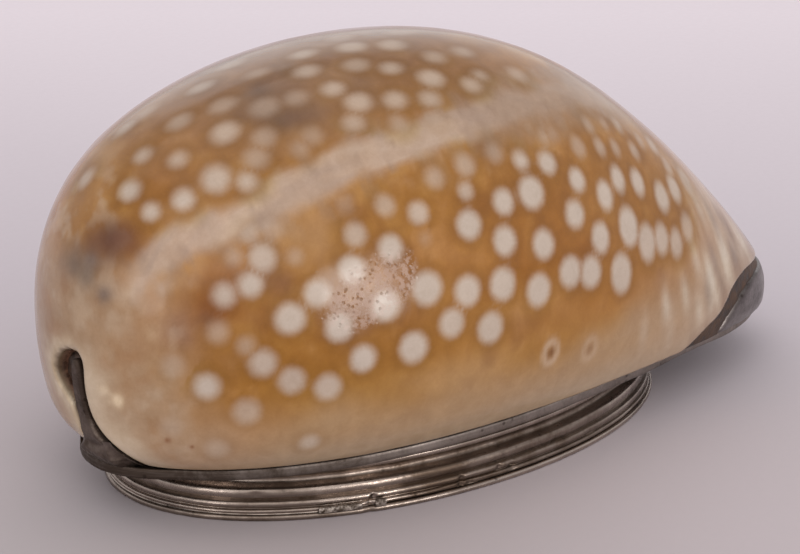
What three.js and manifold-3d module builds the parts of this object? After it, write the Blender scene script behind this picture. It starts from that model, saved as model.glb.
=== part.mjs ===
// Shell snuff box: a cowrie shell with its base cut away, bedded on a silver mount
// with a reeded moulding, and closed from below by a hinged oval lid.
// Millimetres, +Z up.  X runs along the shell (posterior end at -X, anterior at +X),
// the labral side is -Y and the hinge is on the +Y side.  The box stands on its lid.
import * as THREE from 'three';
import Module from 'manifold-3d';

const wasm = await Module();
wasm.setup();

// ---------------------------------------------------------------- driving dimensions
// cowrie shell, outer form: half length, and half widths / heights as polynomials of
// the station c, -1 at the posterior pole and +1 at the anterior pole
const HALF_LENGTH = 42.0;
const WIDTH = [22.795, -5.093, -1.043, 5.194, 3.18];     // half width
const DOME = [25.568, -3.59, -1.666, -10.549, 0.525];    // height of the dome over the waist
const BELLY = [15.268, 2.18];                            // depth below the waist
const WAIST = [14.868, -1.201, -6.634];                  // height of the waist over the table
const SIDE_SHIFT = [3.225, 0.047];                       // the +Y side is fuller by this
const END_POSTERIOR = 2.08, END_ANTERIOR = 2.129;        // roundness of the ends
const NU_DOME = 1.995, NU_BELLY = 2.28;                  // section exponents
const LEAN_POSTERIOR = -0.239, LEAN_ANTERIOR = -0.105;   // ends lean with height
const TWIST = -0.758 * Math.PI / 180, SHELL_Y = -1.014;
const CUT_Z = 5.73;                                      // plane where the base is cut off
const WALL = 2.4;                                        // shell wall

// oval mount
const RING_A = 31.37, RING_B = 19.23, RING_N = 2.05;     // outline of the lid
const RING_X = -3.81, RING_Y = 0.30;
const PLATE_Z0 = 4.58, PLATE_Z1 = 5.38;                  // base plate
const RIM_TOP = 5.62;                                    // the plate's edge stands up round the pitch
const BED_Z0 = 5.40, BED_Z1 = 5.71;                      // pitch bed
const BEZEL_OUT = 3.0, BEZEL_IN = 3.6, BEZEL_Z0 = 0.85;  // bezel wall, inset from the lid outline
const LID_T = 0.6, LID_RIM_W = 1.6;                      // lid thickness, width of its rim
const FLANGE_OUT = 3.85, FLANGE_IN = 4.4, FLANGE_TOP = 2.3;
const MOULD_Z0 = 0.66;

// hinge on the +Y long side
const HINGE_X = RING_X, HINGE_Y = RING_Y + RING_B + 0.45, HINGE_Z = 1.0;
const KNUCKLE_R = 0.9, BORE_R = 0.48, PIN_R = 0.39;
const HINGE_L = 14.0, KNUCKLE_GAP = 0.1;

// the whole object is centred on the origin by this shift
const CENTRE_X = 0.484, CENTRE_Y = 2.246;

// ---------------------------------------------------------------- small solid builders
const sgnpow = (a, p) => Math.sign(a) * Math.pow(Math.abs(a), p);
const poly = (k, c) => k.reduce((s, a, i) => s + a * Math.pow(c, i), 0);

function solid(pos, tri) {
  let vol = 0;
  for (const [a, b, c] of tri) {
    const [p, q, r] = [pos[a], pos[b], pos[c]];
    vol += p[0] * (q[1] * r[2] - q[2] * r[1]) - p[1] * (q[0] * r[2] - q[2] * r[0]) + p[2] * (q[0] * r[1] - q[1] * r[0]);
  }
  if (vol < 0) tri = tri.map(([a, b, c]) => [a, c, b]);
  return new wasm.Manifold(new wasm.Mesh({
    numProp: 3, vertProperties: new Float32Array(pos.flat()), triVerts: new Uint32Array(tri.flat()),
  }));
}

// closed skin through a list of rings, each end closed on a point
function loft(rings, first, last) {
  const n = rings[0].length, pos = [first, ...rings.flat(), last], tri = [];
  const id = (i, j) => 1 + i * n + (j % n);
  for (let j = 0; j < n; j++) {
    tri.push([0, id(0, j + 1), id(0, j)]);
    tri.push([pos.length - 1, id(rings.length - 1, j), id(rings.length - 1, j + 1)]);
    for (let i = 0; i + 1 < rings.length; i++) {
      tri.push([id(i, j), id(i, j + 1), id(i + 1, j + 1)], [id(i, j), id(i + 1, j + 1), id(i + 1, j)]);
    }
  }
  return solid(pos, tri);
}

function mean(ring) {
  const s = [0, 0, 0];
  for (const p of ring) for (let k = 0; k < 3; k++) s[k] += p[k] / ring.length;
  return s;
}

// straight prism of a convex or star-shaped outline, along one axis
function prism(outline, axis, lo, hi) {
  const at = (p, h) => axis === 'z' ? [p[0], p[1], h] : axis === 'y' ? [p[0], h, p[1]] : [h, p[0], p[1]];
  const a = outline.map((p) => at(p, lo)), b = outline.map((p) => at(p, hi));
  return loft([a, b], mean(a), mean(b));
}

const box = (x0, x1, y0, y1, z0, z1) => prism([[x0, y0], [x1, y0], [x1, y1], [x0, y1]], 'z', z0, z1);

function rod(x0, x1, y, z, r, n) {
  const o = [];
  for (let i = 0; i < n; i++) {
    const t = (i + 0.5) / n * 2 * Math.PI;
    o.push([y + r * Math.cos(t), z + r * Math.sin(t)]);
  }
  return prism(o, 'x', x0, x1);
}

// oval path of the mount: t = 0 on the -Y side, growing toward +X; inset measured inward
function oval(t, inset) {
  const x = RING_X + (RING_A - inset) * sgnpow(Math.sin(t), 2 / RING_N);
  const y = RING_Y - (RING_B - inset) * sgnpow(Math.cos(t), 2 / RING_N);
  return [x, y];
}
const ovalOutline = (inset, n) => Array.from({ length: n }, (_, i) => oval(i / n * 2 * Math.PI, inset));

// closed section (inset, z) carried round the oval
function ovalSweep(section, n) {
  const m = section.length, pos = [], tri = [];
  for (let i = 0; i < n; i++) for (const [o, z] of section) pos.push([...oval(i / n * 2 * Math.PI, o), z]);
  for (let i = 0; i < n; i++) for (let j = 0; j < m; j++) {
    const a = i * m + j, b = i * m + (j + 1) % m, c = ((i + 1) % n) * m + j, d = ((i + 1) % n) * m + (j + 1) % m;
    tri.push([a, b, d], [a, d, c]);
  }
  return solid(pos, tri);
}

// closed section carried along a part of the oval, t0 to t1, closed at both ends
function ovalArc(section, t0, t1, n) {
  const rings = Array.from({ length: n }, (_, i) => {
    const t = t0 + (t1 - t0) * i / (n - 1);
    return section.map(([o, z]) => [...oval(t, o), z]);
  });
  return loft(rings, mean(rings[0]), mean(rings[n - 1]));
}

// ---------------------------------------------------------------- cowrie form
function formPoint(c, s, th, inset) {
  const ct = Math.cos(th), st = Math.sin(th);
  const w = poly(WIDTH, c) - inset + (ct > 0 ? 1 : -1) * poly(SIDE_SHIFT, c);
  const zc = poly(WAIST, c), up = st >= 0;
  const y = s * w * sgnpow(ct, 2 / (up ? NU_DOME : NU_BELLY));
  const z = zc + s * (up ? (poly(DOME, c) - inset) * sgnpow(st, 2 / NU_DOME) : (poly(BELLY, c) - inset) * sgnpow(st, 2 / NU_BELLY));
  const dz = z - WAIST[0];
  const x = (HALF_LENGTH - inset) * c + LEAN_POSTERIOR * dz * ((1 - c) / 2) ** 2 + LEAN_ANTERIOR * dz * ((1 + c) / 2) ** 2;
  return [x * Math.cos(TWIST) - y * Math.sin(TWIST), x * Math.sin(TWIST) + y * Math.cos(TWIST) + SHELL_Y, z];
}
function station(c) {
  const e = c < 0 ? END_POSTERIOR : END_ANTERIOR;
  return Math.sqrt(Math.max(0, 1 - Math.abs(c) ** e));
}
// the whole closed form, moved inward by inset
function form(inset, nv, nt) {
  const rings = [];
  for (let i = 1; i < nv; i++) {
    const c = -Math.cos(Math.PI * i / nv);
    rings.push(Array.from({ length: nt }, (_, j) => formPoint(c, station(c), (j + 0.5) / nt * 2 * Math.PI, inset)));
  }
  return loft(rings, formPoint(-1, 0, 0, inset), formPoint(1, 0, 0, inset));
}
// outline of the form at the cutting plane
function cutOutline(inset, n) {
  const reach = (c) => (poly(WAIST, c) - CUT_Z) / (station(c) * (poly(BELLY, c) - inset) + 1e-9);
  const end = (sign) => {
    let lo = 0, hi = sign;
    for (let k = 0; k < 50; k++) { const m = (lo + hi) / 2; if (reach(m) <= 1) lo = m; else hi = m; }
    return lo;
  };
  const c0 = end(-1), c1 = end(1), out = [];
  for (let i = 0; i < 2 * n; i++) {
    const u = i / n * Math.PI, c = (c0 + c1) / 2 - (c1 - c0) / 2 * Math.cos(u);
    const st = Math.min(1, Math.pow(Math.min(1, reach(c)), NU_BELLY / 2));
    const th = i < n ? Math.PI + Math.asin(st) : 2 * Math.PI - Math.asin(st);
    const p = formPoint(c, station(c), th, inset);
    out.push([p[0], p[1]]);
  }
  return out;
}

const above = box(-60, 60, -40, 40, CUT_Z, 60);
const outer = form(0, 34, 36);
const cavity = form(WALL, 22, 24);

// canal notch at the posterior end, seen along X: a round-topped slit that narrows
// below the middle and spreads into the cut edge on the labral side
const NOTCH_UP = [[-2.3, 11.45], [-2.35, 15.6], [-2.2, 16.6], [-1.5, 17.15], [-0.6, 17.15], [0.7, 16.45], [1.6, 15.7], [2.45, 14.5], [2.6, 13.7], [2.0, 13.0], [0.6, 12.0], [-0.2, 11.45]];
const NOTCH_LOW = [[-5.3, 3], [-5.1, 6.4], [-4.5, 7.6], [-3.8, 8.55], [-2.95, 9.7], [-2.4, 11.0], [-2.3, 11.5], [-0.2, 11.5], [-0.35, 10.5], [-0.7, 8.5], [-0.7, 3]];
const shrink = (o, k) => {
  const cy = o.reduce((t, p) => t + p[0], 0) / o.length, cz = o.reduce((t, p) => t + p[1], 0) / o.length;
  return o.map(([y, z]) => [cy + (y - cy) * k, cz + (z - cz) * k]);
};
// the anterior end of the shell is cut back along an arched line, seen from the side
// (END_LINE); the silver cap stops short of it (CAP_LINE) and pitch fills the wedge between
const END_LINE = [[21.9, 4.0], [21.9, 5.5], [23.05, 6.01], [24.5, 6.88], [25.79, 7.53], [27.58, 8.23], [28.82, 9.31], [29.9, 10.65], [31.2, 11.3], [33.3, 11.75], [38.5, 11.15], [50, 10.6]];
const CAP_LINE = [[28.37, 4.0], [28.37, 5.65], [28.9, 6.5], [30.4, 8.05], [31.5, 9.05], [33.2, 9.95], [35.5, 10.45], [38.9, 10.2], [50, 9.6]];
const endRegion = (line, grow) => {
  const o = line.map(([x, z], i) => {
    const a = line[Math.max(0, i - 1)], b = line[Math.min(line.length - 1, i + 1)];
    const dx = b[0] - a[0], dz = b[1] - a[1], l = Math.hypot(dx, dz);
    return [x - grow * dz / l, z + grow * dx / l];
  });
  return prism([...o, [50, 4.0]], 'y', -40, 40);
};

const mouth = prism(ovalOutline(BEZEL_IN, 52), 'z', 3, 9);
const shell = outer.intersect(above).subtract(cavity).subtract(mouth)
  .subtract(prism(NOTCH_UP, 'x', -60, -35)).subtract(prism(NOTCH_LOW, 'x', -60, -35)).subtract(endRegion(END_LINE, 0));

const cap = form(0.12, 28, 28).intersect(above).intersect(endRegion(CAP_LINE, 0)).subtract(form(1.0, 28, 28));
const capPitch = form(0.35, 28, 28).intersect(above).intersect(endRegion(END_LINE, -0.04)).subtract(endRegion(CAP_LINE, 0.04)).subtract(form(2.2, 24, 24));

const notchRegion = prism(shrink(NOTCH_UP, 0.95), 'x', -60, -35).intersect(box(-60, 0, -40, 40, 3, 16.4))
  .add(prism([[-4.6, 5.5], [-4.4, 7.0], [-3.5, 8.6], [-2.6, 10.0], [-2.1, 12.6], [-0.3, 12.6], [-0.8, 9.2], [-0.9, 5.5]], 'x', -60, -35));
const notchPitch = form(1.15, 28, 28).intersect(above).intersect(notchRegion).subtract(form(2.9, 24, 24));

// strap: a strip of sheet lying in the notch along its labral side, spread at the foot
const STRAP_UP = [[-2.1, 11.0], [-2.1, 15.2], [-1.9, 16.2], [-1.3, 16.5], [-0.9, 15.8], [-0.7, 14.0], [-0.6, 12.4], [-0.5, 11.0]];
const STRAP_LOW = [[-4.7, 5.3], [-4.6, 6.7], [-4.1, 7.6], [-3.4, 8.5], [-2.7, 9.6], [-2.15, 11.2], [-0.5, 11.2], [-0.9, 8.0], [-0.9, 5.3]];
const strapBand = form(0.15, 28, 28).subtract(form(0.95, 28, 28));
const footGround = form(-0.02, 34, 36);
const footBand = form(-0.45, 28, 28).intersect(box(-60, -36, -4.9, 1.4, 5.65, 8.4))
  .add(form(-1.05, 28, 28).intersect(box(-60, -36, -4.6, 1.1, 5.65, 7.3)));
const footKey = form(-0.3, 28, 28).subtract(form(0.4, 28, 28)).intersect(prism(STRAP_LOW, 'x', -60, -35)).intersect(box(-60, -36, -4.6, 1.1, 5.65, 8.2));
const strap = strapBand.intersect(prism(STRAP_UP, 'x', -60, -35).add(prism(STRAP_LOW, 'x', -60, -35))).intersect(box(-60, -36.9, -40, 40, 5.65, 60))
  .add(footBand.subtract(footGround)).add(footKey);

// ---------------------------------------------------------------- mount
// inset of the plate's edge from the cut edge of the shell, by angle round the mount:
// lumped out past the posterior end, drawn in under the anterior end
const PLATE_INSET = [[-180, 0.35], [-108, 0.35], [-98, -0.9], [-92, -1.5], [-84, -1.45], [-78, -0.9], [-66, 0.35], [5, 0.35],
  [18, 0.6], [28, 0.84], [40, 1.0], [47, 1.4], [53, 1.4], [57, 1.05], [124, 1.05], [150, 0.35], [180, 0.35]];
function plateInset(x, y) {
  const d = Math.atan2((x - RING_X) / RING_A, -(y - RING_Y) / RING_B) * 180 / Math.PI;
  for (let i = 1; i < PLATE_INSET.length; i++) {
    const [a, p] = PLATE_INSET[i - 1], [b, q] = PLATE_INSET[i];
    if (d <= b) return p + (q - p) * (d - a) / (b - a);
  }
  return 0.35;
}
function plateOutline(extra, least, n) {
  const o = cutOutline(0, n), m = o.length;
  return o.map(([x, y], i) => {
    const a = o[(i + m - 1) % m], b = o[(i + 1) % m], l = Math.hypot(b[0] - a[0], b[1] - a[1]);
    let nx = (b[1] - a[1]) / l, ny = -(b[0] - a[0]) / l;
    if (nx * x + ny * y > 0) { nx = -nx; ny = -ny; }
    const k = Math.max(least, plateInset(x, y)) + extra;
    return [x + nx * k, y + ny * k];
  });
}
const basePlate = prism(plateOutline(0, -9, 44), 'z', PLATE_Z0, RIM_TOP).subtract(prism(plateOutline(0.33, 0.35, 44), 'z', PLATE_Z1, 9))
  .subtract(prism(ovalOutline(BEZEL_OUT - 0.03, 52), 'z', 3, 9));
const bed = prism(plateOutline(0.37, 0.35, 44), 'z', BED_Z0, BED_Z1).subtract(prism(ovalOutline(BEZEL_IN, 52), 'z', 3, 9))
  .subtract(box(-60, -36.7, -5.6, -0.2, 3, 9));
const bezel = ovalSweep([[BEZEL_OUT, BEZEL_Z0], [BEZEL_OUT, PLATE_Z1], [BEZEL_IN, PLATE_Z1], [BEZEL_IN, BEZEL_Z0]], 52);

// reeded moulding: three reeds growing upward, a hollow, and a plain collar under the plate
const MOULD = [[0.5, MOULD_Z0], [0.28, 0.74], [0.28, 1.0], [0.55, 1.12], [0.44, 1.3], [0.44, 1.72], [0.8, 1.9], [0.72, 2.2], [0.72, 2.75],
  [1.05, 3.08], [1.75, 3.2], [1.95, 3.55], [1.8, 3.92], [1.48, 4.12], [1.48, 4.56], [2.97, 4.56], [2.97, MOULD_Z0]];
const hx0 = HINGE_X - HINGE_L / 2, hx1 = HINGE_X + HINGE_L / 2;
const leafY0 = HINGE_Y - 1.68, leafY1 = HINGE_Y + 0.52;
const moulding = ovalSweep(MOULD, 52).subtract(box(hx0 - 0.15, hx1 + 0.15, leafY0 - 0.05, 40, 0, 3.42));

// ---------------------------------------------------------------- lid
const plateNotch = box(hx0 - 0.15, hx1 + 0.15, HINGE_Y - 2.62, 40, -1, 2);
const rimSection = [[LID_RIM_W, 0], [0.14, 0], [0, 0.14], [0, 0.42], [0.16, LID_T], [LID_RIM_W, LID_T]];
const lidRim = ovalSweep(rimSection, 52).subtract(plateNotch);
const lidPlate = prism(ovalOutline(LID_RIM_W + 0.03, 52), 'z', 0, LID_T - 0.05).subtract(plateNotch);
const flange = ovalSweep([[FLANGE_OUT, LID_T - 0.04], [FLANGE_OUT, FLANGE_TOP], [FLANGE_IN, FLANGE_TOP], [FLANGE_IN, LID_T - 0.04]], 52);

// ---------------------------------------------------------------- hinge
const pitch = (HINGE_L + KNUCKLE_GAP) / 5;
const knuckle = (i, web) => {
  const x0 = hx0 + i * pitch, x1 = x0 + pitch - KNUCKLE_GAP;
  return rod(x0, x1, HINGE_Y, HINGE_Z, KNUCKLE_R, 16).add(web(x0, x1)).subtract(rod(x0 - 1, x1 + 1, HINGE_Y, HINGE_Z, BORE_R, 12));
};
const boxWeb = (x0, x1) => box(x0, x1, HINGE_Y - 0.5, HINGE_Y + 0.5, HINGE_Z + 0.7, HINGE_Z + 1.34);
const lidWeb = (x0, x1) => box(x0, x1, HINGE_Y - 1.48, HINGE_Y - 0.4, 0.14, 0.58);
const leafBox = box(hx0, hx1, leafY0, leafY0 + 0.62, HINGE_Z - 0.2, HINGE_Z + 2.0)
  .add(prism([[leafY0, HINGE_Z + 1.36], [leafY1, HINGE_Z + 1.36], [leafY1, HINGE_Z + 1.9], [leafY1 - 0.45, HINGE_Z + 2.36], [leafY0, HINGE_Z + 2.36]], 'x', hx0, hx1));
const leafLid = box(hx0, hx1, HINGE_Y - 2.58, HINGE_Y - 1.5, 0.02, 0.58);
const pin = rod(hx0 - 0.1, hx1 + 0.1, HINGE_Y, HINGE_Z, PIN_R, 12);

// ---------------------------------------------------------------- worn thumbpiece on the lid rim
const deg = Math.PI / 180;
const thumbLeft = ovalArc([[0.17, LID_T + 0.02], [-0.12, LID_T + 0.02], [-0.16, 0.95], [-0.02, 1.22], [0.17, 1.22]], -38.5 * deg, -29.8 * deg, 7);
const thumbRight = ovalArc([[0.17, LID_T + 0.02], [-0.14, LID_T + 0.02], [-0.14, 1.15], [0.0, 1.3], [0.17, 1.3]], -27.2 * deg, -25.0 * deg, 3);

// ---------------------------------------------------------------- scene graph
const SHELL = { color: 0xb08a62, roughness: 0.28, metalness: 0.0 };
const PITCH = { color: 0x3a2a1e, roughness: 0.7, metalness: 0.0 };
const SILVER = { color: 0x9a958e, roughness: 0.34, metalness: 1.0 };
const SOLDER = { color: 0xa8a29a, roughness: 0.5, metalness: 1.0 };

const group = new THREE.Group();
group.name = 'shell_snuff_box';
const boxGroup = new THREE.Group();
boxGroup.name = 'box';
const lidGroup = new THREE.Group();
lidGroup.name = 'lid';
group.add(boxGroup, lidGroup);

function mesh(parent, name, body, look) {
  const m = body.getMesh(), stride = m.numProp, count = m.vertProperties.length / stride;
  const pos = new Float32Array(count * 3);
  for (let i = 0; i < count; i++) {
    pos[i * 3] = m.vertProperties[i * stride] - CENTRE_X;
    pos[i * 3 + 1] = m.vertProperties[i * stride + 1] - CENTRE_Y;
    pos[i * 3 + 2] = m.vertProperties[i * stride + 2];
  }
  const g = new THREE.BufferGeometry();
  g.setAttribute('position', new THREE.BufferAttribute(pos, 3));
  g.setIndex(Array.from(m.triVerts));
  g.computeVertexNormals();
  const o = new THREE.Mesh(g, new THREE.MeshStandardMaterial(look));
  o.name = name;
  parent.add(o);
}

mesh(boxGroup, 'cowrie_shell', shell, SHELL);
mesh(boxGroup, 'pitch_bed', bed, PITCH);
mesh(boxGroup, 'posterior_pitch', notchPitch, PITCH);
mesh(boxGroup, 'anterior_pitch', capPitch, PITCH);
mesh(boxGroup, 'base_plate', basePlate, SILVER);
mesh(boxGroup, 'posterior_canal_strap', strap, SILVER);
mesh(boxGroup, 'anterior_canal_cap', cap, SILVER);
mesh(boxGroup, 'bezel_wall', bezel, SILVER);
mesh(boxGroup, 'reeded_moulding', moulding, SILVER);
mesh(boxGroup, 'hinge_leaf_box', leafBox, SILVER);
mesh(boxGroup, 'hinge_knuckle_box_1', knuckle(0, boxWeb), SILVER);
mesh(boxGroup, 'hinge_knuckle_box_2', knuckle(2, boxWeb), SILVER);
mesh(boxGroup, 'hinge_knuckle_box_3', knuckle(4, boxWeb), SILVER);
mesh(lidGroup, 'lid_plate', lidPlate, SILVER);
mesh(lidGroup, 'lid_rim', lidRim, SILVER);
mesh(lidGroup, 'lid_flange', flange, SILVER);
mesh(lidGroup, 'hinge_leaf_lid', leafLid, SILVER);
mesh(lidGroup, 'hinge_knuckle_lid_1', knuckle(1, lidWeb), SILVER);
mesh(lidGroup, 'hinge_knuckle_lid_2', knuckle(3, lidWeb), SILVER);
mesh(lidGroup, 'hinge_pin', pin, SILVER);
mesh(lidGroup, 'thumbpiece_stub_left', thumbLeft, SOLDER);
mesh(lidGroup, 'thumbpiece_stub_right', thumbRight, SOLDER);

export default group;
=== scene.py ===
import math

import bpy
import numpy as np
from mathutils import Matrix, Vector


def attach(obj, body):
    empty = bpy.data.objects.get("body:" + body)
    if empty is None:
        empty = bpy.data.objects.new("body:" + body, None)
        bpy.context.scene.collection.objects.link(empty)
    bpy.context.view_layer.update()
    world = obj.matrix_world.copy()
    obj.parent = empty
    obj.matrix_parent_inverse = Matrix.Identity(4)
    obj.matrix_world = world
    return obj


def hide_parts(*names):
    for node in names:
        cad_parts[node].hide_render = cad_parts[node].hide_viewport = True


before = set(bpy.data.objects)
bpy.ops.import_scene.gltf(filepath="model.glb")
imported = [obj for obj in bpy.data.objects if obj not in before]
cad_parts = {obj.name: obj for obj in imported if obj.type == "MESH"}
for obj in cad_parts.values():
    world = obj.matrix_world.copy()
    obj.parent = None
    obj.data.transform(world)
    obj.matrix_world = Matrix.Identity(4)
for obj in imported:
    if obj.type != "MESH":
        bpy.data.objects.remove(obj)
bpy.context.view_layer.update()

# ---------------------------------------------------------------- driving dimensions, mm
HALF_LENGTH = 42.0
WIDTH = [22.795, -5.093, -1.043, 5.194, 3.18]
DOME = [25.568, -3.59, -1.666, -10.549, 0.525]
BELLY = [15.268, 2.18]
WAIST = [14.868, -1.201, -6.634]
SIDE_SHIFT = [3.225, 0.047]
END_POSTERIOR, END_ANTERIOR = 2.08, 2.129
NU_DOME, NU_BELLY = 1.995, 2.28
LEAN_POSTERIOR, LEAN_ANTERIOR = -0.239, -0.105
TWIST, SHELL_Y = math.radians(-0.758), -1.014
CUT_Z, WALL = 5.73, 2.4
RING_A, RING_B, RING_N, RING_X, RING_Y = 31.37, 19.23, 2.05, -3.81, 0.30
PLATE_Z0, PLATE_Z1 = 4.58, 5.38
BED_Z0, BED_Z1 = 5.40, 5.71
BEZEL_OUT, BEZEL_IN, BEZEL_Z0 = 3.0, 3.6, 0.85
LID_T, LID_RIM_W = 0.6, 1.6
FLANGE_OUT, FLANGE_IN, FLANGE_TOP = 3.85, 4.4, 2.3
HINGE_X, HINGE_Y, HINGE_Z, HINGE_L = RING_X, RING_Y + RING_B + 0.45, 1.0, 14.0
CENTRE = np.array([0.484, 2.246, 0.0])
PI = math.pi


def poly(k, c):
    r = 0.0
    for i, a in enumerate(k):
        r = r + a * c ** i
    return r


def spow(a, p):
    return np.sign(a) * np.abs(a) ** p


def form(c, th, inset=0.0):
    """Point of the cowrie form at station c and section angle th, moved inward by inset."""
    c, th = np.asarray(c, float), np.asarray(th, float)
    e = np.where(c < 0, END_POSTERIOR, END_ANTERIOR)
    s = np.sqrt(np.clip(1 - np.abs(c) ** e, 0, None))
    ct, st = np.cos(th), np.sin(th)
    w = poly(WIDTH, c) - inset + np.where(ct > 0, 1, -1) * poly(SIDE_SHIFT, c)
    zc = poly(WAIST, c)
    up = st >= 0
    y = s * w * spow(ct, np.where(up, 2 / NU_DOME, 2 / NU_BELLY))
    z = zc + s * np.where(up, (poly(DOME, c) - inset) * spow(st, 2 / NU_DOME), (poly(BELLY, c) - inset) * spow(st, 2 / NU_BELLY))
    dz = z - WAIST[0]
    x = (HALF_LENGTH - inset) * c + LEAN_POSTERIOR * dz * ((1 - c) / 2) ** 2 + LEAN_ANTERIOR * dz * ((1 + c) / 2) ** 2
    return np.stack([x * math.cos(TWIST) - y * math.sin(TWIST), x * math.sin(TWIST) + y * math.cos(TWIST) + SHELL_Y, z], -1)


def cut_outline(inset, n):
    """Outline of the form at the cutting plane."""
    def reach(c):
        e = END_POSTERIOR if c < 0 else END_ANTERIOR
        s = math.sqrt(max(0.0, 1 - abs(c) ** e))
        return (poly(WAIST, c) - CUT_Z) / (s * (poly(BELLY, c) - inset) + 1e-9)

    def end(sign):
        lo, hi = 0.0, sign
        for _ in range(50):
            m = (lo + hi) / 2
            lo, hi = (m, hi) if reach(m) <= 1 else (lo, m)
        return lo

    c0, c1, out = end(-1.0), end(1.0), []
    for i in range(2 * n):
        c = (c0 + c1) / 2 - (c1 - c0) / 2 * math.cos(i / n * PI)
        st = min(1.0, min(1.0, reach(c)) ** (NU_BELLY / 2))
        th = PI + math.asin(st) if i < n else 2 * PI - math.asin(st)
        out.append(form(c, th, inset)[:2])
    return np.array(out)


def oval(t, inset):
    """Path of the mount: t = 0 on the -Y side, growing toward +X."""
    x = RING_X + (RING_A - inset) * spow(np.sin(t), 2 / RING_N)
    y = RING_Y - (RING_B - inset) * spow(np.cos(t), 2 / RING_N)
    return x, y


# ---------------------------------------------------------------- noise
_table = np.random.default_rng(11).random(1 << 16) * 2 - 1


def vnoise(p, seed=0):
    p = np.asarray(p, float)
    i = np.floor(p).astype(np.int64)
    f = p - i
    f = f * f * (3 - 2 * f)
    x, y, z = i[..., 0], i[..., 1], i[..., 2]

    def h(a, b, c):
        return _table[((a * 73856093) ^ (b * 19349663) ^ (c * 83492791) ^ (seed * 2654435)) & 0xFFFF]

    r = 0.0
    for a in (0, 1):
        for b in (0, 1):
            for c in (0, 1):
                w = (f[..., 0] if a else 1 - f[..., 0]) * (f[..., 1] if b else 1 - f[..., 1]) * (f[..., 2] if c else 1 - f[..., 2])
                r = r + w * h(x + a, y + b, z + c)
    return r


def fbm(p, octaves=4, seed=0):
    p = np.asarray(p, float)
    r, a, n = 0.0, 1.0, 0.0
    for k in range(octaves):
        r = r + a * vnoise(p * 2 ** k + 17.3 * k, seed + k)
        n += a
        a *= 0.55
    return r / n


def sstep(a, b, x):
    t = np.clip((np.asarray(x, float) - a) / (b - a), 0, 1)
    return t * t * (3 - 2 * t)


def rgb(r, g, b):
    c = np.array([r, g, b]) / 255
    return np.where(c <= 0.04045, c / 12.92, ((c + 0.055) / 1.055) ** 2.4)


# ---------------------------------------------------------------- mesh building
def chaikin(o, times=3):
    o = np.array(o, float)
    for _ in range(times):
        n = np.roll(o, -1, 0)
        o = np.stack([o * 0.75 + n * 0.25, o * 0.25 + n * 0.75], 1).reshape(-1, 2)
    return o


def outline_distance(px, py, o):
    """Distance to a closed outline, negative inside."""
    px, py = np.asarray(px, float), np.asarray(py, float)
    best, inside = np.full(px.shape, 1e9), np.zeros(px.shape, bool)
    for (ax, ay), (bx, by) in zip(o, np.roll(o, -1, 0)):
        ex, ey = bx - ax, by - ay
        t = np.clip(((px - ax) * ex + (py - ay) * ey) / (ex * ex + ey * ey + 1e-12), 0, 1)
        best = np.minimum(best, np.hypot(px - ax - t * ex, py - ay - t * ey))
        if ay != by:
            inside ^= ((ay > py) != (by > py)) & (px < ex * (py - ay) / (by - ay) + ax)
    return np.where(inside, -best, best)


def make(name, verts, faces, body, stands_for=(), attrs=None, sharp=None, shift=True):
    verts = np.asarray(verts, float)
    if shift:
        verts = verts - CENTRE
    me = bpy.data.meshes.new(name)
    me.from_pydata((verts * 0.001).tolist(), [], faces)
    me.validate()
    me.polygons.foreach_set("use_smooth", [True] * len(me.polygons))
    if sharp:
        me.set_sharp_from_angle(angle=math.radians(sharp))
    for key, val in (attrs or {}).items():
        val = np.asarray(val, float)
        if val.ndim == 1:
            me.attributes.new(key, "FLOAT", "POINT").data.foreach_set("value", val.astype(np.float32))
        else:
            v4 = np.ones((len(val), 4), np.float32)
            v4[:, :3] = val
            me.attributes.new(key, "FLOAT_COLOR", "POINT").data.foreach_set("color", v4.ravel())
    me.update()
    ob = bpy.data.objects.new(name, me)
    bpy.context.scene.collection.objects.link(ob)
    if body:
        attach(ob, body)
        if stands_for:
            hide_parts(*stands_for)
    return ob


def signed_volume(v, faces):
    s = 0.0
    for f in faces:
        a = v[f[0]]
        for k in range(1, len(f) - 1):
            s += float(np.dot(a, np.cross(v[f[k]], v[f[k + 1]])))
    return s


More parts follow.
